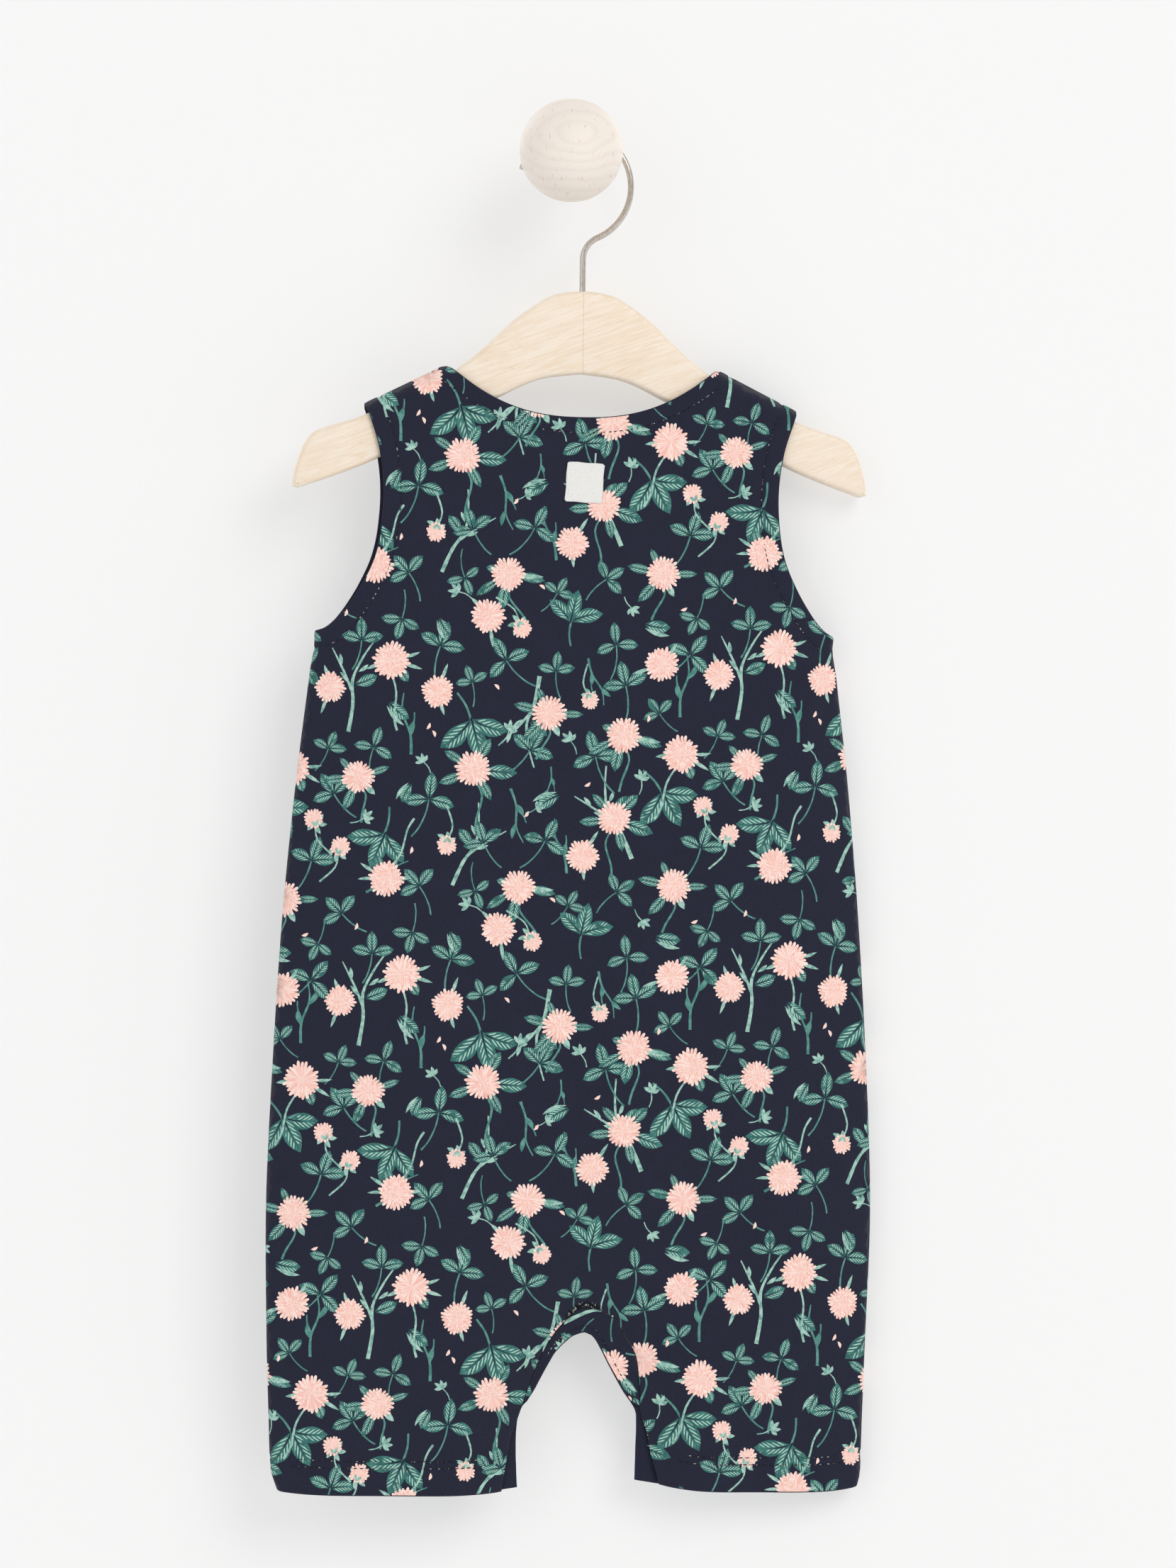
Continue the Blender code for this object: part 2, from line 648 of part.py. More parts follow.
def hanger_object(finish, parent):
    """A flat piece of wood cut to its outline, with rounded edges and a hole for the shank."""
    outline = hanger_outline()
    shape = bmesh.new()
    back = [shape.verts.new(Vector((p.x, -HANGER_THICK / 2, NECK_PEAK_Z - p.y)) * MM) for p in outline]
    flat = shape.faces.new(back)
    made = bmesh.ops.extrude_face_region(shape, geom=[flat])
    moved = [item for item in made["geom"] if isinstance(item, bmesh.types.BMVert)]
    bmesh.ops.translate(shape, verts=moved, vec=(0, HANGER_THICK * MM, 0))
    bmesh.ops.recalc_face_normals(shape, faces=shape.faces)
    rims = [edge for edge in shape.edges if abs(edge.verts[0].co.y - edge.verts[1].co.y) < 1e-6]
    bmesh.ops.bevel(
        shape, geom=rims, offset=HANGER_EDGE_ROUND * MM, segments=2, profile=0.5, affect="EDGES"
    )
    mesh = bpy.data.meshes.new("hanger_wood")
    shape.to_mesh(mesh)
    shape.free()
    mesh.shade_smooth()
    mesh.set_sharp_from_angle(angle=SHARP_ANGLE)
    made = add_object("hanger_wood", mesh, finish, parent)

    hole = bmesh.new()
    top = NECK_PEAK_Z - HANGER_TOP[0][1]
    deep = HOOK_SHANK_SUNK + SHANK_HOLE_GAP
    over = CUTTER_OVERSHOOT
    bmesh.ops.create_cone(
        hole,
        cap_ends=True,
        segments=HOLE_SIDES,
        radius1=(WIRE_RADIUS + SHANK_HOLE_GAP) * MM,
        radius2=(WIRE_RADIUS + SHANK_HOLE_GAP) * MM,
        depth=(deep + over) * MM,
        matrix=Matrix.Translation((0, 0, (top + (over - deep) / 2) * MM)),
    )
    cutter_mesh = bpy.data.meshes.new("shank_hole")
    hole.to_mesh(cutter_mesh)
    hole.free()
    cutter = bpy.data.objects.new("shank_hole", cutter_mesh)
    bpy.context.scene.collection.objects.link(cutter)
    cutter.parent = parent
    cutter.hide_render = True
    cutter.display_type = "WIRE"
    cut = made.modifiers.new("shank hole", "BOOLEAN")
    cut.operation = "DIFFERENCE"
    cut.object = cutter
    return made


def hook_line():
    """Centreline of the wire: tip, arc over the stem, bend back to the middle line, shank."""
    line = []
    tip, neck = radians(HOOK_TIP_ANGLE), radians(HOOK_NECK_ANGLE)
    for step in range(HOOK_ARC_STEPS + 1):
        angle = tip + (neck - tip) * step / HOOK_ARC_STEPS
        line.append((HOOK_OFFSET + HOOK_RADIUS * cos(angle), HOOK_RADIUS * sin(angle)))
    start_x, start_z = line[-1]
    turn = -neck
    bend_radius = start_x / (1.0 - cos(turn))
    for step in range(1, HOOK_BEND_STEPS + 1):
        left = turn * (1.0 - step / HOOK_BEND_STEPS)
        line.append((bend_radius * (1.0 - cos(left)), start_z - bend_radius * (sin(turn) - sin(left))))
    bottom = NECK_PEAK_Z - HANGER_TOP[0][1] - HOOK_SHANK_SUNK
    last_z = line[-1][1]
    for step in range(1, HOOK_SHANK_STEPS + 1):
        line.append((0.0, last_z + (bottom - last_z) * step / HOOK_SHANK_STEPS))
    return line


def hook_object(finish, parent):
    line = hook_line()
    curve = bpy.data.curves.new("hook_wire", "CURVE")
    curve.dimensions = "3D"
    curve.bevel_depth = WIRE_RADIUS * MM
    curve.bevel_resolution = 3
    curve.use_fill_caps = True
    spline = curve.splines.new("POLY")
    spline.points.add(len(line) - 1)
    for point, (x, z) in zip(spline.points, line):
        point.co = (x * MM, 0.0, z * MM, 1.0)
    return add_object("hook_wire", curve, finish, parent)


def knob_object(finish):
    """Foot, stem and ball, turned in one piece about the line that leaves the wall."""
    rings = [
        (KNOB_FOOT_RADIUS, 0.0),
        (KNOB_FOOT_RADIUS, KNOB_FOOT_ROUND - KNOB_FOOT_THICK),
        (KNOB_FOOT_RADIUS - KNOB_FOOT_ROUND, -KNOB_FOOT_THICK),
        (KNOB_STEM_RADIUS, -KNOB_FOOT_THICK - KNOB_COVE),
    ]
    meet = asin(KNOB_STEM_RADIUS / KNOB_BALL_RADIUS)
    for step in range(KNOB_STEPS):
        angle = meet + (pi - meet) * step / KNOB_STEPS
        rings.append((KNOB_BALL_RADIUS * sin(angle), KNOB_BALL_RADIUS * cos(angle) - KNOB_BALL_REACH))
    ends = (0.0, -KNOB_BALL_REACH - KNOB_BALL_RADIUS)
    points, faces = turned_shape(rings, ends, (0.0, 0.0), KNOB_SIDES)
    return add_object("wall_knob", mesh_from("wall_knob", points, faces), finish)


# ---------------------------------------------------------------- the object
def build():
    clear_scene()
    cloth = material("cloth", 0.85)
    hang = bpy.data.objects.new("hanging_frame", None)
    bpy.context.scene.collection.objects.link(hang)
    hang.location = Vector(HANG_CENTRE) * MM
    hang.rotation_euler = (0.0, radians(HANG_ROLL), radians(HANG_YAW))

    knob_object(material("beech", 0.5))
    hook_object(material("wire", 0.3, 1.0), hang)
    hanger_object(material("birch", 0.5), hang)

    back = Panel(-1, BACK_NECK_DROP, BACK_NECK_POWER, BACK_ARCH, BACK_FOLDS)
    front = Panel(1, FRONT_NECK_DROP, FRONT_NECK_POWER, FRONT_ARCH, FRONT_FOLDS)
    panel_object("back_panel", back, cloth, hang)
    panel_object("front_panel", front, cloth, hang)
    band_object("back_placket", -1, BACK_ARCH, BACK_EDGE, BACK_BAND_END, cloth, hang)
    band_object("front_placket", 1, FRONT_ARCH, FRONT_EDGE, FRONT_BAND_END, cloth, hang)
    label_object(back, material("label", 0.8), hang)
    stud = material("stud", 0.4)
    for number, place in enumerate(stud_places(), 1):
        stud_object(f"press_stud_{number}", place, stud, hang)


build()
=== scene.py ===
"""Looks for a baby's printed romper on a wooden hanger that hangs from a round wall knob.

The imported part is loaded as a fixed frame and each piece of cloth, wood and wire is dressed or
made finer on it. Garment sizes are in millimetres: "cloth" runs sideways along the fabric from
the garment's middle line and "depth" runs down from the neck peaks. They are the sizes of the
part's own source, so each piece lies where its solid does. The viewer sees the garment's back.
"""

from math import asin, cos, hypot, pi, radians, sin

import bmesh
import bpy
import numpy as np
from mathutils import Euler, Matrix, Vector
from mathutils.geometry import delaunay_2d_cdt


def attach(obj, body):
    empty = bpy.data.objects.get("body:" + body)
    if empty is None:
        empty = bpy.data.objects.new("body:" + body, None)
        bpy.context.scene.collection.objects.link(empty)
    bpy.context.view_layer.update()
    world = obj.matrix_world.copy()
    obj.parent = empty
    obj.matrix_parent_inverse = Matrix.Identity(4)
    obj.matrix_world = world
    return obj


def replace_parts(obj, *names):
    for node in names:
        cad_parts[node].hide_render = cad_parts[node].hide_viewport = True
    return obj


MM = 0.001

# ---------------------------------------------------------------- where the garment hangs (mm)
HANG_CENTRE = (6.1, -26.0, -15.4)
HANG_YAW, HANG_ROLL = 7.0, 0.8       # degrees
HANG_TURN = Euler((0, radians(HANG_ROLL), radians(HANG_YAW))).to_matrix().to_4x4()
HANG = Matrix.Translation(Vector(HANG_CENTRE) * MM) @ HANG_TURN
NECK_PEAK_Z = -87.9

# ---------------------------------------------------------------- the garment's cut (mm)
NECK_HALF_WIDTH = 66.3
SHOULDER_TIP_HALF = 105.8
SHOULDER_DROP = 19.7
NECK_PEAK_ROUND = 2.0
UNDERARM_DEPTH = 131.0
CROTCH_X, CROTCH_DEPTH = 8.0, 456.4
HEM_START, HEM_DEPTH = 509.0, 548.0
LEFT_HEM, RIGHT_HEM = (549.0, 2.1), (546.3, 3.3)    # lowest depth, and how much its corners rise
BACK_NECK, FRONT_NECK = (25.1, 2.4), (58.0, 2.2)    # drop, and the power of its curve

WALL = 1.2
SEAM_GAP = 0.3
SEAM_TOUCH = 0.03        # half the gap left between the panels where they are sewn together
OWN_SIDE = 0.02          # how far every edge stays on its own side of the side seams
BAND_SEAM_OFFSET = 0.42
EDGE_RADIUS = 2.6
EDGE_LEAN = radians(16.0)
SHOULDER_CURL = 9.0
PLACKET_HALF = 1.45
LEG_ROUND = 32.0
FOLD_FREE_HALF = 5.0

# Outline of the armholes: depth, half width.
ARMHOLE = (
    (19.7, 105.8),
    (25.0, 103.6),
    (41.0, 98.7),
    (60.0, 96.3),
    (80.0, 97.3),
    (94.0, 100.3),
    (107.0, 106.1),
    (118.0, 112.8),
    (125.5, 118.8),
    (129.4, 124.0),
    (131.0, 128.6),
)
# The garment as a flattened tube: depth, width to the left, width to the right, half thickness.
TUBE = (
    (0.0, 165.0, 163.0, 8.1),
    (60.0, 152.0, 150.0, 8.4),
    (100.0, 138.0, 136.0, 9.0),
    (131.0, 128.6, 125.6, 9.4),
    (150.0, 130.6, 127.6, 9.8),
    (203.0, 136.6, 134.0, 10.8),
    (270.0, 142.4, 140.2, 11.4),
    (350.0, 146.5, 145.5, 11.2),
    (410.0, 148.3, 147.8, 10.2),
    (475.0, 147.1, 146.1, 8.6),
    (512.0, 145.6, 145.1, 7.6),
    (536.0, 144.2, 144.4, 7.0),
    (548.0, 140.6, 142.4, 6.8),
)
# Panels' edges round the crotch: depth, x of the left leg's edge, x of the right leg's edge.
BACK_ARCH = (
    (456.4, 8.0, 8.0),
    (458.6, 2.6, 15.6),
    (463.0, -1.0, 22.6),
    (470.0, -6.9, 27.4),
    (481.0, -13.2, 33.4),
    (496.0, -19.4, 35.2),
    (509.0, -23.4, 36.4),
    (520.0, -27.2, 39.4),
    (532.0, -29.4, 41.2),
    (548.0, -31.9, 45.6),
)
FRONT_ARCH = (
    (456.4, 8.0, 8.0),
    (458.6, 0.4, 17.0),
    (463.0, -6.4, 24.4),
    (470.0, -13.8, 30.6),
    (481.0, -21.2, 37.0),
    (496.0, -30.0, 43.6),
    (509.0, -35.6, 46.8),
    (524.0, -37.4, 47.4),
    (548.0, -36.8, 47.2),
)
# Free edges of the placket bands, between the legs, in the same columns.
BACK_EDGE = (
    (468.8, 8.0, 8.0),
    (470.0, 3.6, 11.6),
    (477.0, -4.8, 16.2),
    (484.0, -9.3, 19.8),
    (491.0, -13.1, 23.8),
    (498.0, -16.8, 27.8),
    (507.0, -22.5, 34.4),
)
FRONT_EDGE = (
    (469.4, 8.0, 8.0),
    (471.0, 3.0, 12.0),
    (478.0, -5.0, 16.6),
    (485.0, -9.6, 20.2),
    (498.0, -17.2, 27.6),
    (507.0, -22.6, 33.6),
    (514.0, -24.6, 34.4),
    (528.0, -25.0, 34.2),
    (546.0, -24.2, 34.0),
)
BACK_BAND_END, FRONT_BAND_END = 505.0, HEM_DEPTH
BAND_END_SLANT = 2.0     # how much sooner a band's free edge ends than its seam
# Soft folds: x, depth at the top, depth at the bottom, lean of x per mm of depth, half width, height.
BACK_FOLDS = (
    (62.0, 470.0, 560.0, 0.06, 17.0, 2.0),
    (92.0, 480.0, 560.0, 0.02, 15.0, -1.3),
    (-92.0, 485.0, 560.0, -0.03, 20.0, -1.2),
    (104.0, 120.0, 240.0, 0.16, 14.0, 1.6),
    (-78.0, 60.0, 190.0, -0.10, 18.0, -1.0),
)
FRONT_FOLDS = (
    (-64.0, 466.0, 560.0, -0.05, 17.0, 1.8),
    (86.0, 474.0, 560.0, 0.03, 18.0, 1.5),
    (-96.0, 118.0, 250.0, -0.14, 15.0, 1.8),
    (70.0, 70.0, 210.0, 0.10, 18.0, -1.1),
    (6.0, 250.0, 430.0, 0.02, 26.0, -1.0),
)
# Finer creases, in the same columns, that only the dressed cloth has.
BACK_CREASES = (
    (112.0, 133.0, 190.0, -0.35, 3.2, -0.5),
    (119.0, 140.0, 215.0, -0.22, 3.6, 0.45),
    (-118.0, 136.0, 200.0, 0.28, 3.4, -0.45),
    (-108.0, 150.0, 260.0, 0.12, 5.5, 0.4),
    (28.0, 430.0, 475.0, 0.55, 4.0, -0.5),
    (-12.0, 428.0, 480.0, -0.5, 4.5, -0.45),
    (44.0, 462.0, 562.0, 0.16, 4.5, -0.55),
    (51.0, 470.0, 562.0, 0.12, 5.0, 0.5),
    (-48.0, 480.0, 562.0, -0.1, 6.0, 0.45),
    (-118.0, 470.0, 562.0, 0.02, 6.0, 0.4),
    (120.0, 440.0, 562.0, -0.03, 6.5, -0.4),
    (126.0, 250.0, 420.0, 0.04, 7.0, 0.4),
    (-128.0, 270.0, 430.0, -0.04, 7.0, -0.4),
    (30.0, 200.0, 330.0, 0.05, 12.0, 0.5),
    (-36.0, 300.0, 440.0, 0.04, 14.0, -0.5),
    (74.0, 330.0, 450.0, -0.05, 12.0, 0.4),
)
FRONT_CREASES = (
    (-112.0, 133.0, 190.0, 0.35, 3.2, -0.5),
    (116.0, 138.0, 205.0, -0.25, 3.6, 0.5),
    (26.0, 428.0, 476.0, 0.5, 4.2, -0.45),
    (-14.0, 430.0, 478.0, -0.55, 4.0, -0.5),
    (58.0, 466.0, 562.0, 0.1, 5.0, 0.5),
    (-52.0, 472.0, 562.0, -0.12, 5.5, -0.5),
    (104.0, 460.0, 562.0, 0.02, 7.0, 0.4),
    (-30.0, 180.0, 330.0, 0.05, 13.0, 0.5),
    (48.0, 240.0, 400.0, -0.04, 13.0, -0.5),
)


# ---------------------------------------------------------------- reading the tables, many points at once
def read(rows, at, column):
    """Reads a column of a table at values of its first column, on a smooth curve."""
    table = np.array(rows, float)
    places, values = table[:, 0], table[:, column]
    slopes = np.gradient(values)
    slopes[1:-1] = (values[2:] - values[:-2]) / (places[2:] - places[:-2])
    slopes[0] = (values[1] - values[0]) / (places[1] - places[0])
    slopes[-1] = (values[-1] - values[-2]) / (places[-1] - places[-2])
    at = np.clip(np.asarray(at, float), places[0], places[-1])
    upper = np.clip(np.searchsorted(places, at), 1, len(places) - 1)
    lower = upper - 1
    span = places[upper] - places[lower]
    share = (at - places[lower]) / span
    square, cube = share ** 2, share ** 3
    return (
        (2 * cube - 3 * square + 1) * values[lower]
        + (cube - 2 * square + share) * span * slopes[lower]
        + (3 * square - 2 * cube) * values[upper]
        + (cube - square) * span * slopes[upper]
    )


def ease(value):
    share = np.clip(value, 0.0, 1.0)
    return share * share * (3.0 - 2.0 * share)


def distance_to(line, places):
    """Shortest distance from each place (N, 2) to a line of points (M, 2)."""
    line = np.asarray(line, float)
    starts, steps = line[:-1], line[1:] - line[:-1]
    long = np.maximum((steps ** 2).sum(1), 1e-12)
    best = np.full(len(places), 1e9)
    for start, step, size in zip(starts, steps, long):
        away = places - start
        share = np.clip((away @ step) / size, 0.0, 1.0)
        away = away - share[:, None] * step
        best = np.minimum(best, (away ** 2).sum(1))
    return np.sqrt(best)


def evenly(line, spacing):
    """The same line with points at an even spacing."""
    line = np.asarray(line, float)
    lengths = np.concatenate(([0.0], np.cumsum(np.hypot(*(line[1:] - line[:-1]).T))))
    count = max(2, int(round(lengths[-1] / spacing)) + 1)
    at = np.linspace(0.0, lengths[-1], count)
    return np.stack([np.interp(at, lengths, line[:, axis]) for axis in (0, 1)], 1)


def offset_row(line, distance):
    """The line moved sideways into the piece."""
    line = np.asarray(line, float)
    run = np.gradient(line, axis=0)
    run /= np.maximum(np.hypot(run[:, 0], run[:, 1]), 1e-9)[:, None]
    return line + np.stack([-run[:, 1], run[:, 0]], 1) * distance


# ---------------------------------------------------------------- the flattened tube of cloth
def tube_at(depth, hand):
    """Width, half thickness, slow turn's radius and cloth from middle line to side seam."""
    width = np.where(hand < 0, read(TUBE, depth, 1), read(TUBE, depth, 2))
    thick = read(TUBE, depth, 3)
    slow = (thick - EDGE_RADIUS * cos(EDGE_LEAN)) / (1.0 - cos(EDGE_LEAN))
    inset = EDGE_RADIUS * (1.0 - sin(EDGE_LEAN)) + slow * sin(EDGE_LEAN)
    turned = EDGE_RADIUS * (pi / 2 - EDGE_LEAN) + slow * EDGE_LEAN
    return width, thick, slow, inset, turned, width - inset + turned


def half_cloth(depth, hand):
    return tube_at(depth, hand)[5]


def tube_section(cloth, depth):
    """Sideways place and half thickness of the points that lie so much cloth from the middle."""
    hand = np.where(cloth < 0, -1.0, 1.0)
    width, thick, slow, _inset, turned, half = tube_at(depth, hand)
    tight = EDGE_RADIUS * (pi / 2 - EDGE_LEAN)
    from_seam = half - np.abs(cloth)
    near = pi / 2 - from_seam / EDGE_RADIUS
    far = EDGE_LEAN - (from_seam - tight) / slow
    near_x, near_y = width - EDGE_RADIUS * (1.0 - np.sin(near)), EDGE_RADIUS * np.cos(near)
    far_x = width - EDGE_RADIUS * (1.0 - sin(EDGE_LEAN)) - slow * (sin(EDGE_LEAN) - np.sin(far))
    far_y = EDGE_RADIUS * cos(EDGE_LEAN) + slow * (np.cos(far) - cos(EDGE_LEAN))
    in_tight, in_turn = from_seam < tight, from_seam < turned
    x = np.where(in_tight, near_x, np.where(in_turn, far_x, np.abs(cloth)))
    return hand * x, np.where(in_tight, near_y, np.where(in_turn, far_y, thick))


def cloth_at(x, depth):
    """Cloth from the middle line to the points at these sideways places."""
    hand = np.where(x < 0, -1.0, 1.0)
    width, _thick, slow, inset, turned, half = tube_at(depth, hand)
    from_edge = width - np.abs(x)
    tight_inset = EDGE_RADIUS * (1.0 - sin(EDGE_LEAN))
    near = np.arcsin(np.clip(1.0 - from_edge / EDGE_RADIUS, -1.0, 1.0))
    far = np.arcsin(np.clip(sin(EDGE_LEAN) - (from_edge - tight_inset) / slow, -1.0, 1.0))
    from_seam = np.where(
        from_edge < tight_inset,
        EDGE_RADIUS * (pi / 2 - near),
        np.where(
            from_edge < inset,
            EDGE_RADIUS * (pi / 2 - EDGE_LEAN) + slow * (EDGE_LEAN - far),
            turned + from_edge - inset,
        ),
    )
    return hand * (half - from_seam)


def shoulder_line(x):
    return (np.abs(x) - NECK_HALF_WIDTH) * SHOULDER_DROP / (SHOULDER_TIP_HALF - NECK_HALF_WIDTH)


def leg_depth(depth, hand, share):
    """Depth of a leg's row here, once the hem's own shape is added; share is 0 at the inner edge."""
    lowest, raised = LEFT_HEM if hand < 0 else RIGHT_HEM
    hem = lowest - raised * (2.0 * share - 1.0) ** 4
    return depth + (hem - HEM_DEPTH) * ease((depth - HEM_START) / (HEM_DEPTH - HEM_START))


def fold_height(folds, x, depth):
    """Height of folds here; each fades out towards its two ends, or runs to the hem."""
    height = np.zeros_like(x)
    for fold_x, top, bottom, lean, half, rise in folds:
        reach = np.clip((depth - top) / (bottom - top), 0.0, 1.0)
        aside = (x - fold_x - lean * (depth - top)) / half
        fade = np.sin(pi * (np.minimum(reach, 0.5) if bottom > HEM_DEPTH else reach))
        height += rise * fade * np.exp(-aside * aside)
    return height


# ---------------------------------------------------------------- cut pieces of cloth
# Finished edges are turned in and sewn down. Kind: distance of each stitch row from the edge.
STITCH_ROWS = {"neck": (7.0,), "armhole": (8.0,), "hem": (12.9, 16.3), "free": (2.4, 8.6), "band_hem": (9.5,)}
TURNED_WIDTH = {"neck": 9.0, "armhole": 10.0, "hem": 19.0, "free": 10.0, "band_hem": 12.0}
EDGE_BULGE = 0.22        # how much a turned edge stands up, two layers thick
STITCH_SINK = 0.48       # how deep a row of stitches pulls the cloth in
STITCH_SINK_HALF = 0.95


class CutPiece:
    """A flat cut piece with its edges in order, and the surface that it lies on."""

    side = -1
    edges = ()

    def base(self, places):
        raise NotImplementedError

    def base_normal(self, places, step=0.25):
        ahead, back = self.base(places + (step, 0.0)), self.base(places - (step, 0.0))
        down, up = self.base(places + (0.0, step)), self.base(places - (0.0, step))
        normal = np.cross(ahead - back, down - up) * self.side
        return normal / np.maximum(np.linalg.norm(normal, axis=1), 1e-9)[:, None]

    def lines(self, kind):
        return [line for name, line in self.edges if name == kind]

    def flat_size(self):
        """Width and length of the cut piece, in metres."""
        points = np.concatenate([line for _kind, line in self.edges])
        return tuple((points.max(0) - points.min(0)) * MM)

    def relief(self, places):
        """Small heights near the finished edges: a soft double layer and sewn-in rows."""
        height = np.zeros(len(places))
        for kind, rows in STITCH_ROWS.items():
            for line in self.lines(kind):
                away = distance_to(line[::3] if len(line) > 12 else line, places)
                last = rows[-1]
                height += EDGE_BULGE * np.sin(pi * np.clip(away / last, 0.0, 1.0)) ** 0.6
                for row in rows:
                    height -= STITCH_SINK * np.exp(-(((away - row) / STITCH_SINK_HALF) ** 2))
        return height

    def surface(self, places):
        return self.base(places) + self.base_normal(places) * self.relief(places)[:, None]

    def surface_normal(self, places, step=0.3):
        ahead, back = self.surface(places + (step, 0.0)), self.surface(places - (step, 0.0))
        down, up = self.surface(places + (0.0, step)), self.surface(places - (0.0, step))
        normal = np.cross(ahead - back, down - up) * self.side
        return normal / np.maximum(np.linalg.norm(normal, axis=1), 1e-9)[:, None]

    def inner(self, places):
        """The inner face, kept on its own side of the seam."""
        made = self.base(places) - self.base_normal(places) * WALL
        made[:, 1] = self.side * np.maximum(self.side * made[:, 1], OWN_SIDE)
        return made


class Panel(CutPiece):
    """Back (side -1) or front (side +1) of the garment."""

    def __init__(self, side, neck_drop, neck_power, arch, folds):
        self.side, self.neck_drop, self.neck_power = side, neck_drop, neck_power
        self.arch, self.folds = arch, folds
        left = [(row[1], row[0]) for row in reversed(arch)]
        self.arch_line = np.array(left + [(row[2], row[0]) for row in arch[1:]])
        self.edges = self.cut_edges()

    def top_edge(self, x):
        neck = self.neck_drop * (1.0 - (np.abs(x) / NECK_HALF_WIDTH) ** self.neck_power)
        shoulder = shoulder_line(x)
        return (neck + shoulder + np.hypot(neck - shoulder, NECK_PEAK_ROUND)) / 2

    def cut_edges(self):
        """Edges clockwise as the back's viewer sees them, from the left shoulder's tip."""
        peak, tip = NECK_HALF_WIDTH, SHOULDER_TIP_HALF
        edges = []
        for kind, start, end in (("shoulder", -tip, -peak), ("neck", -peak, peak), ("shoulder", peak, tip)):
            x = np.linspace(start, end, 121 if kind == "neck" else 21)
            edges.append((kind, evenly(np.stack([x, self.top_edge(x)], 1), 2.0)))
        depth = np.linspace(self.top_edge(tip), UNDERARM_DEPTH, 91)
        for hand, column in ((1, 2), (-1, 1)):
            hole = np.stack([cloth_at(hand * read(ARMHOLE, depth, 1), depth), depth], 1)
            low = leg_depth(HEM_DEPTH, hand, 1.0)
            down = np.linspace(UNDERARM_DEPTH, low, 140)
            seam = np.stack([hand * half_cloth(down, np.full_like(down, hand)), down], 1)
            inner = float(read(self.arch, HEM_DEPTH, column))
            share = np.linspace(1.0, 0.0, 60)
            hem = np.stack([inner + share * (seam[-1, 0] - inner), leg_depth(HEM_DEPTH, hand, share)], 1)
            rise = np.linspace(HEM_DEPTH, CROTCH_DEPTH, 80)
            leg = np.stack([read(self.arch, rise, column), leg_depth(rise, hand, 0.0)], 1)
            made = [("armhole", evenly(hole, 2.0)), ("side", evenly(seam, 4.0)), ("hem", evenly(hem, 2.2))]
            made.append(("leg", evenly(leg, 2.0)))
            if hand < 0:
                made = [(kind, line[::-1]) for kind, line in reversed(made)]
            edges += made
        return edges

    def base(self, places):
        cloth, depth = places[:, 0], places[:, 1]
        x, thick = tube_section(cloth, depth)
        curl = np.clip((depth - shoulder_line(x)) / SHOULDER_CURL, 0.0, 1.0)
        thick = thick * np.sqrt(np.maximum(1.0 - (1.0 - curl) ** 2, 0.0))
        low = (depth > CROTCH_DEPTH - LEG_ROUND) & (thick > PLACKET_HALF)
        if low.any():
            near = np.clip(distance_to(self.arch_line, np.stack([x, depth], 1)[low]) / LEG_ROUND, 0.0, 1.0)
            thick[low] = PLACKET_HALF + (thick[low] - PLACKET_HALF) * (1.0 - (1.0 - near) ** 2)
        settled = ease((thick - PLACKET_HALF) / FOLD_FREE_HALF)
        gap = SEAM_TOUCH + (SEAM_GAP / 2 - SEAM_TOUCH) * np.clip(thick / EDGE_RADIUS, 0.0, 1.0)
        thick = thick + fold_height(self.folds, x, depth) * settled
        return np.stack([x, self.side * (thick + gap), NECK_PEAK_Z - depth], 1)


class Band(CutPiece):
    """A flat placket band between a panel's edge and the free edge round the crotch."""

    def __init__(self, side, arch, free, end):
        self.side = side
        seam = offset_row(evenly(self.run(arch, CROTCH_DEPTH, end), 1.0), BAND_SEAM_OFFSET)
        edge = self.run(free, free[0][0], end - BAND_END_SLANT)
        kind = "band_hem" if end == HEM_DEPTH else "end"
        self.edges = [
            ("seam", evenly(seam, 2.0)),
            (kind, evenly([seam[-1], edge[-1]], 2.0)),
            ("free", evenly(edge[::-1], 2.0)),
            (kind, evenly([edge[0], seam[0]], 2.0)),
        ]

    def flat_size(self):
        """The band as a strip: its widest place and its length along its middle, in metres."""
        seam, free = self.lines("seam")[0], self.lines("free")[0]
        lengths = [np.hypot(*(line[1:] - line[:-1]).T).sum() for line in (seam, free)]
        return float(distance_to(seam, free).max() * MM), float(sum(lengths) / 2 * MM)

    def run(self, rows, top, bottom):
        """A line down the left side reversed, then down the right: over the crotch, leg to leg."""
        depth = np.linspace(top, bottom, 90)
        left = np.stack([read(rows, depth, 1), leg_depth(depth, -1, 0.0)], 1)
        right = np.stack([read(rows, depth, 2), leg_depth(depth, 1, 0.0)], 1)
        return np.concatenate([left[::-1], right[1:]])

    def base(self, places):
        face = np.full(len(places), self.side * (PLACKET_HALF + SEAM_GAP / 2))
        return np.stack([places[:, 0], face, NECK_PEAK_Z - places[:, 1]], 1)


# ---------------------------------------------------------------- the print: motifs and how they repeat
# A motif is drawn from a pen: a place on the cloth (mm), a direction and a size. Forward is the way
# that a leaf or a flower grows. Inks are laid in the order in which the shapes are drawn.
def uneven(*seeds):
    """A repeatable number from -1 to 1."""
    value = sin(sum(seed * (12.9898 + 7.31 * i) for i, seed in enumerate(seeds)) + 1.7) * 43758.5453
    return 2.0 * (value - int(value)) - 1.0 if value >= 0 else 2.0 * (value - int(value)) + 1.0


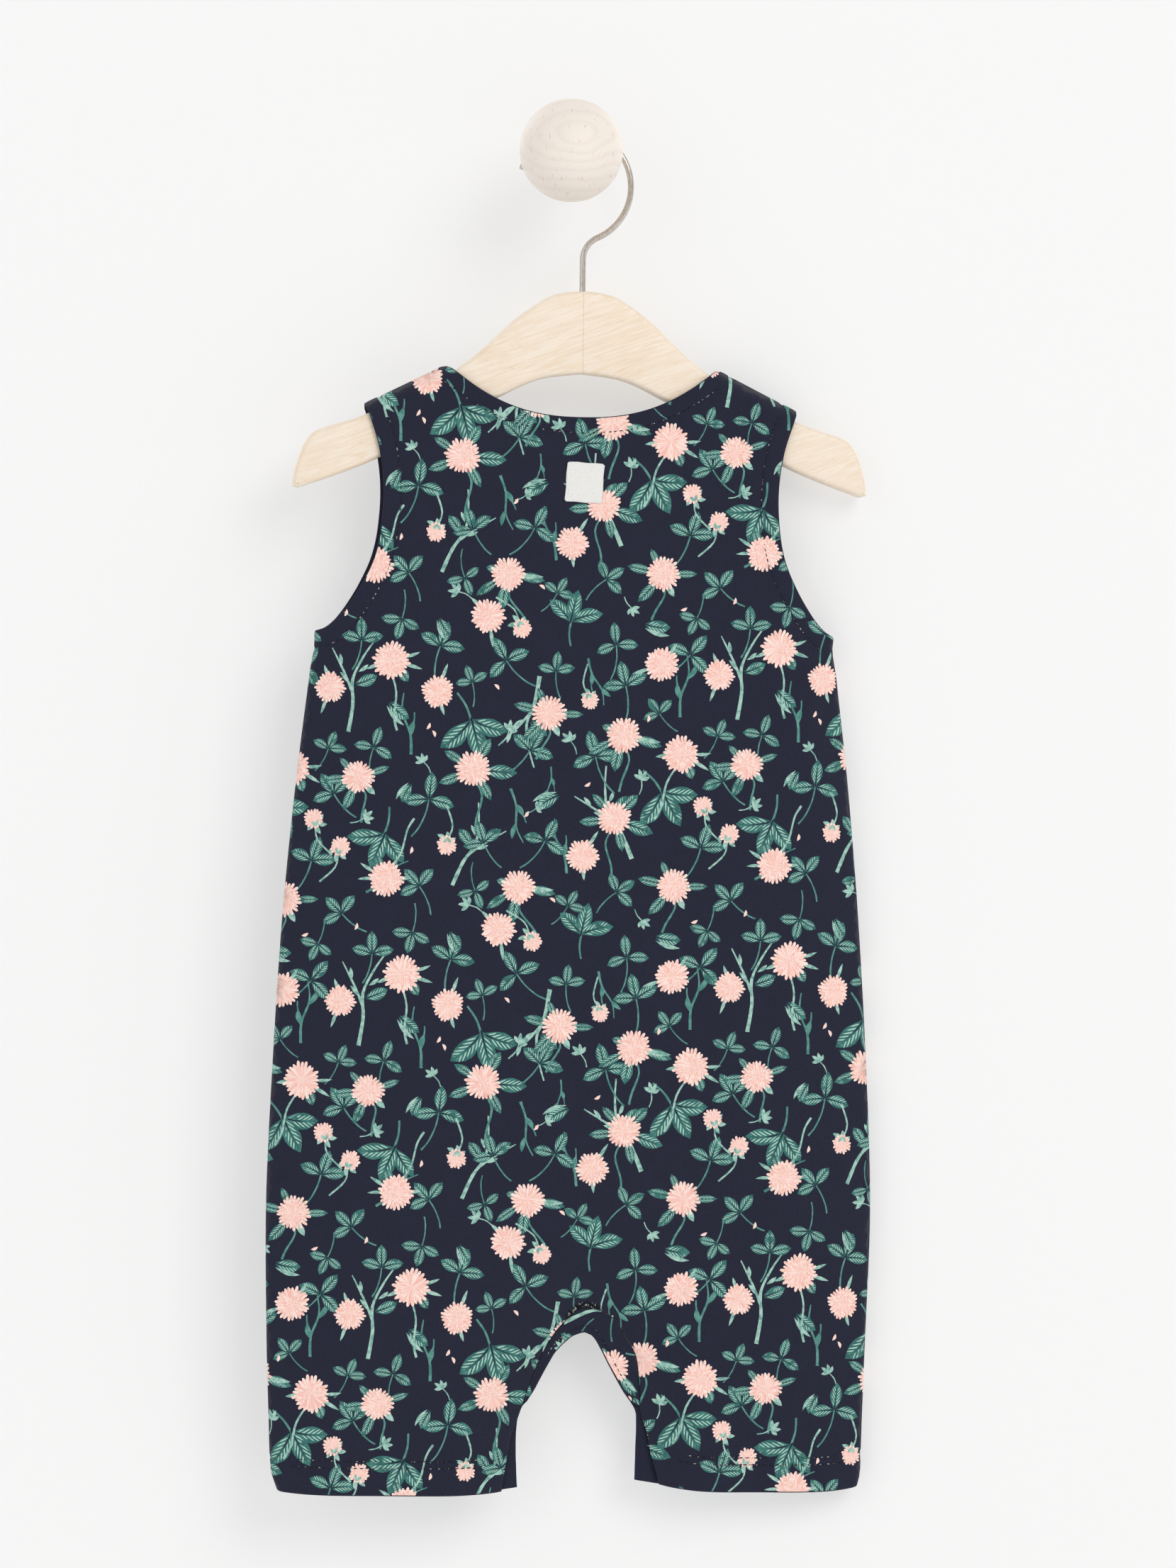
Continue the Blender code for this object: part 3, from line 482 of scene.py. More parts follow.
class Pen:
    def __init__(self, x, y, turn=0.0, size=1.0):
        self.x, self.y, self.turn, self.size = x, y, turn, size

    def at(self, forward, aside=0.0):
        ahead, across = forward * self.size, aside * self.size
        return (
            self.x + ahead * sin(self.turn) + across * cos(self.turn),
            self.y - ahead * cos(self.turn) + across * sin(self.turn),
        )

    def moved(self, forward=0.0, aside=0.0, turn=0.0, size=1.0):
        x, y = self.at(forward, aside)
        return Pen(x, y, self.turn + radians(turn), self.size * size)


class Shape:
    """One printed shape: its ink, its outline, and the axis that its drawing follows."""

    def __init__(self, ink, points, pen, length=1.0, half=1.0, bend=0.0):
        self.ink, self.points, self.pen = ink, points, pen
        self.length, self.half, self.bend = length, half, bend


def leaflet(drawn, pen, length, half, bend=0.0, ink="leaf", widest=1.15):
    steps = 7
    points = []
    for hand in (-1, 1):
        for step in range(steps + 1) if hand < 0 else range(steps - 1, 0, -1):
            share = step / steps
            width = half * sin(pi * share ** widest) ** 0.9 if 0 < step < steps else 0.0
            points.append(pen.at(length * share, bend * 4 * share * (1 - share) + hand * width))
    drawn.append(Shape(ink, points, pen, length, half, bend))


def smooth_route(route, steps=4):
    made = []
    last = len(route) - 1
    for i in range(last):
        before, start, end, after = (route[max(i - 1, 0)], route[i], route[i + 1], route[min(i + 2, last)])
        for step in range(steps):
            t = step / steps
            made.append(
                tuple(
                    0.5
                    * (
                        2 * s
                        + (e - b) * t
                        + (2 * b - 5 * s + 4 * e - a) * t ** 2
                        + (3 * s - b - 3 * e + a) * t ** 3
                    )
                    for b, s, e, a in zip(before, start, end, after)
                )
            )
    return made + [route[last]]


def stem(drawn, pen, route, widths, ink="stem"):
    """A tapered stroke through points (forward, aside)."""
    line = [pen.at(*point) for point in smooth_route(route)]
    left, right = [], []
    last = len(line) - 1
    for i, (x, y) in enumerate(line):
        before, after = line[max(i - 1, 0)], line[min(i + 1, last)]
        dx, dy = after[0] - before[0], after[1] - before[1]
        long = hypot(dx, dy) or 1.0
        half = pen.size * (widths[0] + (widths[1] - widths[0]) * i / last) / 2
        half *= 1.0 + 0.12 * uneven(i, x, y)
        left.append((x - dy / long * half, y + dx / long * half))
        right.append((x + dy / long * half, y - dx / long * half))
    drawn.append(Shape(ink, left + right[::-1], pen))


def head(drawn, pen, radius, petals=25, calm=1.0):
    """A round flower head with a ragged edge; calm lowers the raggedness on its stem's side."""
    points = []
    for petal in range(petals):
        middle = 2 * pi * petal / petals
        towards = 0.5 - 0.5 * cos(middle)
        depth = (0.25 + 0.1 * uneven(petal, pen.y, 3.0)) * (1.0 - (1.0 - calm) * towards)
        reach = radius * (0.99 + 0.085 * uneven(petal, pen.x, pen.y))
        spread = 2 * pi / petals
        lean = 0.2 * spread * uneven(petal, pen.y)
        # Across one petal, from the gap beside it, over its blunt tip.
        for place, out in ((-0.5, 1.0 - depth), (-0.34, 0.96), (-0.14, 1.05), (0.14, 1.05), (0.34, 0.96)):
            turn = middle + spread * place + (lean if out > 0.9 else 0.0)
            far = (reach if out > 0.9 else radius) * out
            points.append(pen.at(far * cos(turn), far * sin(turn)))
    drawn.append(Shape("head", points, pen, radius, radius))


def trefoil(drawn, pen, spread=72.0, stalk=(0.0, 0.0), leaf=11.8, half=2.9):
    """Three leaflets on a thin stem; stalk is the stem's far end, behind the leaflets."""
    back, aside = stalk
    if back:
        route = ((0.8, 0.0), (-back * 0.35, aside * 0.1), (-back * 0.75, aside * 0.5), (-back, aside))
        stem(drawn, pen, route, (0.7, 0.85))
    leaflet(drawn, pen.moved(turn=-spread), leaf * 0.96, half, 0.5)
    leaflet(drawn, pen.moved(turn=spread * 0.95), leaf * 1.02, half * 1.05, -0.5)
    leaflet(drawn, pen.moved(turn=uneven(pen.x) * 6), leaf * 1.06, half * 1.02)


def broad_leaf(drawn, pen, stalk=14.0):
    """A large leaf of three joined lobes."""
    stem(drawn, pen, ((1.5, 0.0), (-stalk * 0.5, 1.4), (-stalk, 4.6)), (1.2, 1.0))
    leaflet(drawn, pen.moved(0.0, 0.0, -62.0), 18.5, 4.4, 0.9, widest=1.2)
    leaflet(drawn, pen.moved(0.0, 0.0, 58.0), 20.5, 4.6, -1.2, widest=1.2)
    leaflet(drawn, pen.moved(-1.5, 0.0, -4.0), 21.5, 4.5, widest=1.15)


def folded_leaf(drawn, pen, length=13.0):
    """A leaf whose pale underside is turned up along one edge."""
    leaflet(drawn, pen, length, 3.4, 0.8)
    leaflet(drawn, pen.moved(0.6, 2.0, 9.0), length * 0.98, 1.1, 0.9, "sprout")


def flower(drawn, pen, leaves, foot, radius=8.4, ink="stem", calm=1.0):
    """A flower head with leaves behind it; leaves are (turn, length, half width, ink)."""
    if foot:
        down, aside, sway = foot
        route = ((-radius * 0.6, 0.0), (-down * 0.45, sway), (-down * 0.8, aside * 0.6), (-down, aside))
        stem(drawn, pen, route, (0.85, 1.15), ink)
    for turn, length, half, leaf_ink in leaves:
        leaflet(drawn, pen.moved(turn=turn).moved(radius * 0.55), length, half, 0.5 * uneven(turn), leaf_ink)
    head(drawn, pen, radius, calm=calm)


def bud(drawn, pen, foot):
    """A small head that opens from pale sepals."""
    down, aside, sway = foot
    stem(drawn, pen, ((-2.0, 0.0), (-down * 0.5, sway), (-down, aside)), (0.7, 0.9), "sprout")
    for turn in (-62, -118, 60, 115, 172):
        leaflet(drawn, pen.moved(-1.6).moved(turn=turn), 5.4 + uneven(turn, pen.x), 1.1, 0.4, "sprout")
    head(drawn, pen.moved(0.6), 4.6, 17, 0.8)
    for turn in (-150, 150):
        leaflet(drawn, pen.moved(-3.4).moved(turn=turn + 180), 3.4, 0.8, 0.0, "sprout")


def sprig(drawn, pen, back=7.0):
    """A few narrow pale leaves on a short stem."""
    stem(drawn, pen, ((0.5, 0.0), (-back * 0.5, 0.8), (-back, 0.2)), (0.6, 0.55), "sprout")
    for turn, length in ((-62, 4.6), (-22, 5.6), (18, 5.2), (58, 4.4)):
        leaflet(drawn, pen.moved(turn=turn), length, 0.95, 0.2, "sprout")


def twig(drawn, pen, long=30.0, hand=1):
    """A forked stem with small pointed bracts."""
    main = ((0.0, 0.0), (long * 0.33, hand * 1.4), (long * 0.7, -hand * 0.6), (long, hand * 1.8))
    fork = ((long * 0.36, hand * 1.2), (long * 0.52, hand * 4.2), (long * 0.66, hand * 5.2))
    stem(drawn, pen, main, (1.5, 0.6))
    stem(drawn, pen, fork, (1.0, 0.6))
    leaflet(drawn, pen.moved(long * 0.62, -hand * 0.4, -hand * 24), 9.0, 1.3, 0.4, "stem")
    leaflet(drawn, pen.moved(long * 0.28, hand * 1.3, hand * 22), 8.0, 1.4, -0.4, "stem")


def branch(drawn, pen, long=44.0, hand=1):
    """A pale branch, thick at its foot, with two forks, a leaf and narrow shoots."""
    main = (
        (0.0, 0.0),
        (long * 0.3, hand * 0.8),
        (long * 0.55, -hand * 0.6),
        (long * 0.8, hand * 3.4),
        (long, hand * 8.5),
    )
    stem(drawn, pen, main, (2.1, 0.7), "sprout")
    fork = ((long * 0.42, 0.0), (long * 0.62, -hand * 5.0), (long * 0.86, -hand * 12.0))
    stem(drawn, pen, fork, (1.5, 0.6), "sprout")
    for forward, aside, turn, length in ((0.5, -1.8, -44, 7.5), (0.66, -7.0, -8, 7.0), (0.64, 1.8, 48, 6.0)):
        leaflet(drawn, pen.moved(long * forward, hand * aside, hand * turn), length, 0.95, 0.3, "sprout")
    leaflet(drawn, pen.moved(long * 0.5, hand * 0.6, hand * 62), 12.0, 3.0, 0.4)


def fleck(drawn, pen):
    """A fallen petal: a small pale crescent."""
    leaflet(drawn, pen, 3.6, 0.75, 0.45, "petal", 1.0)


# Leaves behind a flower head: turn in degrees, length, half width, ink.
CROWN = (
    (-104, 13.5, 2.5, "leaf"),
    (-50, 12.0, 2.2, "leaf"),
    (38, 12.5, 2.9, "leaf"),
    (103, 17.0, 3.6, "leaf"),
    (158, 13.0, 2.3, "leaf"),
)
CROSS = (
    (-82, 13.5, 2.4, "leaf"),
    (-142, 14.0, 2.6, "leaf"),
    (86, 12.5, 1.9, "leaf"),
    (150, 8.0, 1.6, "sprout"),
    (-30, 9.0, 1.8, "leaf"),
)
COLLAR = (
    (-112, 8.0, 0.9, "sprout"),
    (104, 11.0, 0.9, "sprout"),
    (140, 8.5, 2.6, "leaf"),
    (72, 10.0, 0.8, "sprout"),
)
LOW = (
    (-112, 15.0, 2.3, "leaf"),
    (-160, 13.5, 3.1, "leaf"),
    (112, 15.0, 2.6, "leaf"),
    (106, 14.0, 1.3, "sprout"),
    (-60, 7.0, 2.0, "leaf"),
)
REPEAT = (190.0, 152.0)     # width and height of one repeat, mm
REPEAT_LEAN = -2.6          # degrees


def spray(drawn, kind, x, y, turn, size, hand):
    """One row of the chart."""
    pen = Pen(x, y, radians(turn), size)
    if kind == "crown":
        flower(drawn, pen, CROWN, (30.0, 3.0 * hand, -2.5 * hand))
    elif kind == "cross":
        flower(drawn, pen, CROSS, (23.0, -4.0 * hand, 1.5 * hand), 8.0)
    elif kind == "collar":
        flower(drawn, pen, COLLAR, (34.0, 4.0 * hand, 3.0 * hand), 8.6, "sprout", 0.45)
    elif kind == "low":
        flower(drawn, pen, LOW, (27.0, 5.0 * hand, -1.5 * hand), 8.3)
    elif kind == "bare":
        flower(drawn, pen, COLLAR[:2], None, 8.0, "sprout", 0.55)
    elif kind == "bud":
        bud(drawn, pen, (19.0, 3.0 * hand, -1.5 * hand))
    elif kind == "trefoil":
        trefoil(drawn, pen, 78.0, (16.0, 4.0 * hand))
    elif kind == "open_trefoil":
        trefoil(drawn, pen, 104.0, (19.0, -6.0 * hand), 12.6, 3.0)
    elif kind == "broad":
        broad_leaf(drawn, pen)
    elif kind == "folded":
        folded_leaf(drawn, pen)
    elif kind == "sprig":
        sprig(drawn, pen)
    elif kind == "twig":
        twig(drawn, pen, 30.0, hand)
    elif kind == "branch":
        branch(drawn, pen, 46.0, hand)
    elif kind == "fleck":
        fleck(drawn, pen)


# The chart of one repeat: kind, x, y, turn (degrees clockwise from up), size, hand.
CHART = (
    ("branch", 14, 62, 8, 1.0, 1),
    ("branch", 108, 38, 196, 0.95, -1),
    ("branch", 150, 128, -24, 1.0, 1),
    ("branch", 62, 138, 30, 0.9, -1),
    ("twig", 44, 74, -8, 1.0, 1),
    ("twig", 92, 92, 172, 0.9, -1),
    ("twig", 176, 60, 12, 1.0, -1),
    ("twig", 132, 30, 160, 0.8, 1),
    ("twig", 20, 140, 52, 0.85, 1),
    ("twig", 118, 134, -14, 0.9, 1),
    ("broad", 74, 58, 172, 1.0, 1),
    ("broad", 166, 96, 158, 0.95, 1),
    ("broad", 30, 112, -150, 0.9, 1),
    ("broad", 124, 12, 20, 0.8, 1),
    ("trefoil", 60, 22, 24, 1.0, 1),
    ("open_trefoil", 92, 30, -30, 0.95, -1),
    ("trefoil", 150, 44, -12, 1.0, -1),
    ("open_trefoil", 182, 30, 40, 0.95, 1),
    ("trefoil", 6, 92, -28, 0.95, 1),
    ("open_trefoil", 52, 96, 10, 1.0, 1),
    ("trefoil", 102, 74, 34, 1.0, -1),
    ("open_trefoil", 134, 78, -8, 1.0, -1),
    ("trefoil", 78, 118, -20, 0.9, 1),
    ("open_trefoil", 108, 118, 28, 0.9, 1),
    ("trefoil", 184, 124, 16, 1.0, -1),
    ("trefoil", 46, 138, -34, 0.9, -1),
    ("trefoil", 142, 144, 60, 0.85, 1),
    ("trefoil", 22, 18, 6, 0.9, -1),
    ("trefoil", 42, 8, -160, 0.85, 1),
    ("open_trefoil", 146, 24, -6, 0.85, 1),
    ("trefoil", 8, 150, -38, 0.9, 1),
    ("trefoil", 4, 70, 20, 0.75, -1),
    ("open_trefoil", 26, 70, 24, 0.8, -1),
    ("trefoil", 116, 36, 6, 0.8, 1),
    ("trefoil", 186, 12, -150, 0.75, 1),
    ("trefoil", 75, 40, -14, 0.72, -1),
    ("open_trefoil", 73, 141, 160, 0.7, 1),
    ("trefoil", 166, 58, -30, 0.75, 1),
    ("trefoil", 118, 150, 30, 0.72, -1),
    ("folded", 44, 88, -150, 0.8, 1),
    ("folded", 60, 8, 150, 0.8, 1),
    ("twig", 112, 82, -172, 0.6, -1),
    ("folded", 34, 48, 132, 1.0, 1),
    ("folded", 116, 96, -118, 1.0, 1),
    ("folded", 160, 14, 100, 1.0, 1),
    ("collar", 36, 28, 4, 1.0, 1),
    ("crown", 74, 82, -6, 1.0, -1),
    ("cross", 112, 56, 8, 1.0, 1),
    ("low", 148, 68, -4, 1.0, -1),
    ("collar", 176, 78, 18, 1.0, -1),
    ("cross", 18, 84, -12, 0.95, 1),
    ("crown", 142, 108, 10, 0.95, 1),
    ("low", 94, 140, -10, 0.95, 1),
    ("collar", 30, 134, 200, 0.95, -1),
    ("bare", 84, 8, 70, 1.0, 1),
    ("bare", 58, 44, -82, 0.95, 1),
    ("bare", 168, 34, 150, 1.0, 1),
    ("bare", 126, 126, -70, 0.95, -1),
    ("cross", 170, 142, 6, 1.0, 1),
    ("bare", 6, 40, 98, 0.9, 1),
    ("bud", 100, 14, 150, 1.0, 1),
    ("bud", 8, 118, 24, 1.0, -1),
    ("bud", 60, 118, 190, 1.0, 1),
    ("bud", 186, 104, -16, 1.0, 1),
    ("bud", 132, 50, 170, 0.9, -1),
    ("sprig", 92, 64, 34, 1.0, 1),
    ("sprig", 50, 78, -30, 0.9, 1),
    ("sprig", 154, 6, 150, 0.9, 1),
    ("sprig", 104, 102, 70, 0.8, 1),
    ("sprig", 122, 70, -22, 1.0, 1),
    ("sprig", 20, 104, 74, 1.0, 1),
    ("sprig", 156, 90, 12, 1.0, 1),
    ("sprig", 70, 148, -60, 1.0, 1),
    ("fleck", 52, 62, 30, 1.0, 1),
    ("fleck", 56, 66, -20, 1.0, 1),
    ("fleck", 128, 92, 60, 1.0, 1),
    ("fleck", 160, 62, 10, 1.0, 1),
    ("fleck", 98, 106, 40, 1.0, 1),
    ("fleck", 88, 44, -40, 1.0, 1),
    ("fleck", 14, 6, 20, 1.0, 1),
    ("fleck", 112, 148, -50, 1.0, 1),
    ("fleck", 178, 8, 70, 1.0, 1),
    ("fleck", 42, 122, 15, 1.0, 1),
)


def lay_chart():
    drawn = []
    for row in CHART:
        spray(drawn, *row)
    return drawn


# ---------------------------------------------------------------- printing and cutting the cloth
INKS = ("ground", "leaf", "stem", "sprout", "head", "petal")
REVERSE = len(INKS)
CHART_SHAPES = lay_chart()
SPILL = 2.0              # area beyond a face's own, mm2, that shows it was filled from outside


def signed_area(outline):
    x, y = outline[:, 0], outline[:, 1]
    return 0.5 * float(np.sum(x * np.roll(y, -1) - y * np.roll(x, -1)))


def triangles(places, faces):
    """Triangles inside the first face: places, corners, topmost face of each, sources of each place."""
    result = delaunay_2d_cdt([Vector(place) for place in places], [], faces, 0, 1e-5, True)
    made = np.array([tuple(point) for point in result[0]])
    corners = np.array(result[2])
    one, two = made[corners[:, 1]] - made[corners[:, 0]], made[corners[:, 2]] - made[corners[:, 0]]
    areas = np.abs(one[:, 0] * two[:, 1] - one[:, 1] * two[:, 0]) / 2
    holder = np.repeat(np.arange(len(corners)), [len(found) for found in result[5]])
    held = np.array([face for found in result[5] for face in found])
    claimed = np.bincount(held, areas[holder], len(faces))
    own = np.array([abs(signed_area(places[face])) for face in faces])
    spilt = claimed > 1.5 * own + SPILL
    right = ~spilt[held]
    top = np.full(len(corners), -1)
    np.maximum.at(top, holder[right], held[right])
    inside = np.zeros(len(corners), bool)
    inside[holder[held == 0]] = True
    for face in np.flatnonzero(spilt):
        # A face that crosses itself claims what lies outside it, so the rest is what it holds.
        rest = np.ones(len(corners), bool)
        rest[holder[held == face]] = False
        top[rest] = np.maximum(top[rest], face)
    corners, top = corners[inside], top[inside]
    used = np.unique(corners)
    renumber = np.full(len(made), -1)
    renumber[used] = np.arange(len(used))
    return made[used], renumber[corners], top, [result[3][i] for i in used]


def chart_tile():
    """One repeat, cut into triangles that don't overlap: places, corners, shape and its origin."""
    low, high = np.zeros(2), np.array(REPEAT)
    corners = [(0.0, 0.0), (high[0], 0.0), (high[0], high[1]), (0.0, high[1])]
    places, faces, sources = [np.array(corners)], [[0, 1, 2, 3]], [None]
    count = 4
    for order, shape in enumerate(CHART_SHAPES):
        for row in (-1, 0, 1):
            for column in (-1, 0, 1):
                origin = np.array((column, row)) * high
                points = np.array(shape.points) + origin
                if (points.max(0) > low).all() and (points.min(0) < high).all():
                    places.append(points[:: 1 if signed_area(points) > 0 else -1])
                    faces.append(list(range(count, count + len(points))))
                    sources.append((order, *origin))
                    count += len(points)
    made, triangle_corners, top, _sources = triangles(np.concatenate(places), faces)
    inked = top > 0
    found = np.array([sources[i] for i in top[inked]])
    return made, triangle_corners[inked], found[:, 0].astype(int), found[:, 1:]


class Print:
    """How the print lies on a piece: its chart's corner, its lean in degrees, and -1 for the front."""

    def __init__(self, tile, corner, lean, facing=1):
        self.tile, self.corner, self.facing = tile, np.array(corner), facing
        turn = radians(lean)
        self.axes = np.array(((cos(turn), sin(turn)), (-sin(turn), cos(turn)))) * (facing, 1)

    def over(self, low, high):
        """Inked triangles that touch the box: places, corners, and each one's shape and origin."""
        made, tile_corners, order, origin = self.tile
        box = np.array([(x, y) for x in (low[0], high[0]) for y in (low[1], high[1])]) - self.corner
        reach = box @ self.axes.T / REPEAT
        first, last = np.floor(reach.min(0)).astype(int), np.ceil(reach.max(0)).astype(int)
        places, corners, orders, origins, count = [], [], [], [], 0
        for row in range(first[1], last[1]):
            for column in range(first[0], last[0]):
                shift = np.array((column, row)) * REPEAT
                points = self.corner + (made + shift) @ self.axes
                found = points[tile_corners]
                near = (found.max(1) > low).all(1) & (found.min(1) < high).all(1)
                places.append(points)
                corners.append(tile_corners[near][:, ::self.facing] + count)
                orders.append(order[near])
                origins.append(self.corner + (origin[near] + shift) @ self.axes)
                count += len(points)
        return tuple(np.concatenate(parts) for parts in (places, corners, orders, origins))

    def drawing(self, order, origin, places):
        """Where places lie in a shape's own drawing: along its axis, and aside from it."""
        shape = CHART_SHAPES[order]
        local = (places - origin) @ self.axes.T - (shape.pen.x, shape.pen.y)
        ahead, aside = sin(shape.pen.turn), cos(shape.pen.turn)
        forward = (local[:, 0] * ahead - local[:, 1] * aside) / shape.pen.size
        across = (local[:, 0] * aside + local[:, 1] * ahead) / shape.pen.size
        reach = forward / shape.length
        return np.stack([reach, (across - shape.bend * 4 * reach * (1 - reach)) / shape.half], 1)


def outline_of(piece):
    """The piece's closed outline, without doubled points."""
    points = np.concatenate([line for _kind, line in piece.edges])
    after = np.roll(points, -1, axis=0)
    return points[np.hypot(*(after - points).T) > 0.02]


def filling(piece, outline, spacing, rows):
    """Points inside the piece: an even grid, and rows along its finished edges."""
    low, high = outline.min(0), outline.max(0)
    across, down = np.meshgrid(np.arange(low[0], high[0], spacing), np.arange(low[1], high[1], spacing))
    shift = np.where(np.arange(across.shape[0]) % 2 == 0, 0.0, spacing / 2)[:, None]
    grid = np.stack([(across + shift).ravel(), down.ravel()], 1)
    grid += 0.2 * spacing * np.sin(grid[:, ::-1] * (7.1, 5.3) + (0.0, 1.0))
    ring = np.concatenate([outline, outline[:1]])
    grid = grid[distance_to(ring, grid) > spacing * 0.45]
    kept = [grid]
    for kind, places in rows.items():
        for line in piece.lines(kind):
            for place in places:
                row = offset_row(evenly(line, 2.6), place)
                kept.append(row[distance_to(ring, row) > place * 0.93])
    return np.concatenate(kept)


def boundary_loops(corners):
    """The triangles' open edges in order, as closed loops."""
    starts = corners.ravel()
    ends = np.roll(corners, -1, axis=1).ravel()
    known = set(zip(starts.tolist(), ends.tolist()))
    following = {a: b for a, b in known if (b, a) not in known}
    loops = []
    while following:
        first = next(iter(following))
        loop, at = [], first
        while at in following:
            loop.append(at)
            at = following.pop(at)
        loops.append(loop)
    return loops


# Rows of points along each kind of edge, close together where the cloth is stitched.
EDGE_ROWS = {
    kind: tuple(sorted({0.8, 1.8} | {row + step for row in rows for step in (-1.8, -0.9, 0.0, 0.9, 1.8)}))
    for kind, rows in STITCH_ROWS.items()
}
EDGE_ROWS["leg"] = EDGE_ROWS["seam"] = (0.6, 1.4)
# How far each kind of edge, folded over, stands out beyond the cloth's outline.
FOLD_OUT = {
    "neck": 0.45,
    "armhole": 0.45,
    "hem": 0.5,
    "free": 0.3,
    "band_hem": 0.4,
    "leg": 0.12,
    "seam": 0.12,
}
RIM_DEPTHS = (0.35, 0.85)    # how deep the two rows lie that round a folded edge


def cloth_mesh(name, piece, pattern, ribs=0.0, spacing=3.6):
    """A printed piece of cloth: outer face, rounded folded edge and plain inner face, closed."""
    outline = outline_of(piece)
    inside = filling(piece, outline, spacing, EDGE_ROWS)
    inked, inked_corners, order, began = pattern.over(outline.min(0), outline.max(0))
    count = len(outline) + len(inside)
    faces = [list(range(len(outline)))] + (inked_corners + count).tolist()
    flat, corners, top, _sources = triangles(np.concatenate([outline, inside, inked]), faces)
    if piece.side * turning(flat, corners) < 0:
        corners = corners[:, ::-1]
    outer = piece.surface(flat)

    loops = boundary_loops(corners)
    loop = np.array(max(loops, key=len))
    edge = flat[loop]
    rows = {kind: (TURNED_WIDTH[kind],) for kind in STITCH_ROWS}
    coarse = filling(piece, outline, spacing * 1.7, rows)
    ring = list(range(len(edge)))[:: 1 if signed_area(edge) > 0 else -1]
    back_flat, back_corners, _top, origin = triangles(np.concatenate([edge, coarse]), [ring])
    if piece.side * turning(back_flat, back_corners) > 0:
        back_corners = back_corners[:, ::-1]
    back = piece.inner(back_flat)

    out = fold_direction(piece, edge)
    normal = piece.surface_normal(edge)
    first, second = (outer[loop] + out - normal * deep for deep in RIM_DEPTHS)
    for row in (first, second):
        row[:, 1] = piece.side * np.maximum(piece.side * row[:, 1], OWN_SIDE)

    start_first, start_second = len(outer), len(outer) + len(loop)
    start_back = start_second + len(loop)
    points = np.concatenate([outer, first, second, back])
    inner_edge = np.full(len(loop), -1)
    for made, sources in enumerate(origin):
        for source in sources:
            if source < len(loop):
                inner_edge[source] = start_back + made
    chain = [loop, np.arange(len(loop)) + start_first, np.arange(len(loop)) + start_second, inner_edge]
    rim = []
    for upper, lower in zip(chain, chain[1:]):
        after_upper, after_lower = np.roll(upper, -1), np.roll(lower, -1)
        rim.append(np.stack([after_upper, upper, lower], 1))
        rim.append(np.stack([after_upper, lower, after_lower], 1))
    rim = np.concatenate(rim)
    inner = back_corners + start_back
    everything = np.concatenate([corners, rim, inner])

    motif = np.zeros((len(everything), 3, 2))
    slots = np.zeros(len(everything), int)
    printed = np.flatnonzero(top > 0)
    key = np.round(np.column_stack([order, began])[top[printed] - 1], 3)
    keys, which = np.unique(key, axis=0, return_inverse=True)
    sorted_by = np.argsort(which, kind="stable")
    bounds = np.searchsorted(which[sorted_by], np.arange(len(keys) + 1))
    for number, (shape, *origin) in enumerate(keys):
        chosen = printed[sorted_by[bounds[number]:bounds[number + 1]]]
        slots[chosen] = INKS.index(CHART_SHAPES[int(shape)].ink)
        found = pattern.drawing(int(shape), np.array(origin), flat[corners[chosen]].reshape(-1, 2))
        motif[chosen] = found.reshape(-1, 3, 2)
    middle = back_flat[back_corners].mean(1)
    plain = np.ones(len(middle), bool)
    for kind, wide in TURNED_WIDTH.items():
        for line in piece.lines(kind):
            plain &= distance_to(line[::3], middle) > wide
    slots[len(corners) + len(rim):] = np.where(plain, REVERSE, 0)

    lean = np.array(((cos(ribs), sin(ribs)), (-sin(ribs), cos(ribs))))
    cloth = np.concatenate([flat, edge, edge, back_flat]) @ lean
    layers = {"motif": motif.reshape(-1, 2), "cloth": cloth[everything.ravel()]}
    return mesh_of(name, points, everything, slots, layers), abs(signed_area(outline)) * MM ** 2


def turning(flat, corners):
    """Above 0 where the triangles' corners run from the cloth's direction to the depth's."""
    first, second, third = (flat[corners[:, i]] for i in range(3))
    one, two = second - first, third - first
    return float(np.sum(one[:, 0] * two[:, 1] - one[:, 1] * two[:, 0]))


def fold_direction(piece, edge):
    """How far, and which way, the folded edge stands out beyond the cloth's outline."""
    wide = np.zeros(len(edge))
    for kind, out in FOLD_OUT.items():
        for line in piece.lines(kind):
            wide = np.maximum(wide, np.where(distance_to(line, edge) < 0.05, out, 0.0))
    run = np.roll(edge, -1, axis=0) - np.roll(edge, 1, axis=0)
    run /= np.maximum(np.hypot(run[:, 0], run[:, 1]), 1e-9)[:, None]
    outward = np.stack([run[:, 1], -run[:, 0]], 1) * np.sign(signed_area(edge))
    step = 0.5
    moved = piece.base(edge) - piece.base(edge - outward * step)
    moved /= np.maximum(np.linalg.norm(moved, axis=1), 1e-9)[:, None]
    return moved * wide[:, None]


def mesh_of(name, points, corners, slots=None, layers=None):
    """A smooth mesh of triangles from points in the hanging frame, in millimetres."""
    mesh = bpy.data.meshes.new(name)
    placed = points * MM @ np.array(HANG.to_3x3()).T + np.array(HANG.translation)
    mesh.vertices.add(len(placed))
    mesh.vertices.foreach_set("co", placed.astype(np.float32).ravel())
    mesh.loops.add(corners.size)
    mesh.loops.foreach_set("vertex_index", corners.astype(np.int32).ravel())
    mesh.polygons.add(len(corners))
    mesh.polygons.foreach_set("loop_start", np.arange(0, corners.size, 3, dtype=np.int32))
    for layer, values in (layers or {}).items():
        made = mesh.uv_layers.new(name=layer)
        made.data.foreach_set("uv", values.astype(np.float32).ravel())
    if slots is not None:
        mesh.polygons.foreach_set("material_index", slots.astype(np.int32))
    mesh.update(calc_edges=True)
    mesh.validate()
    mesh.shade_smooth()
    return mesh


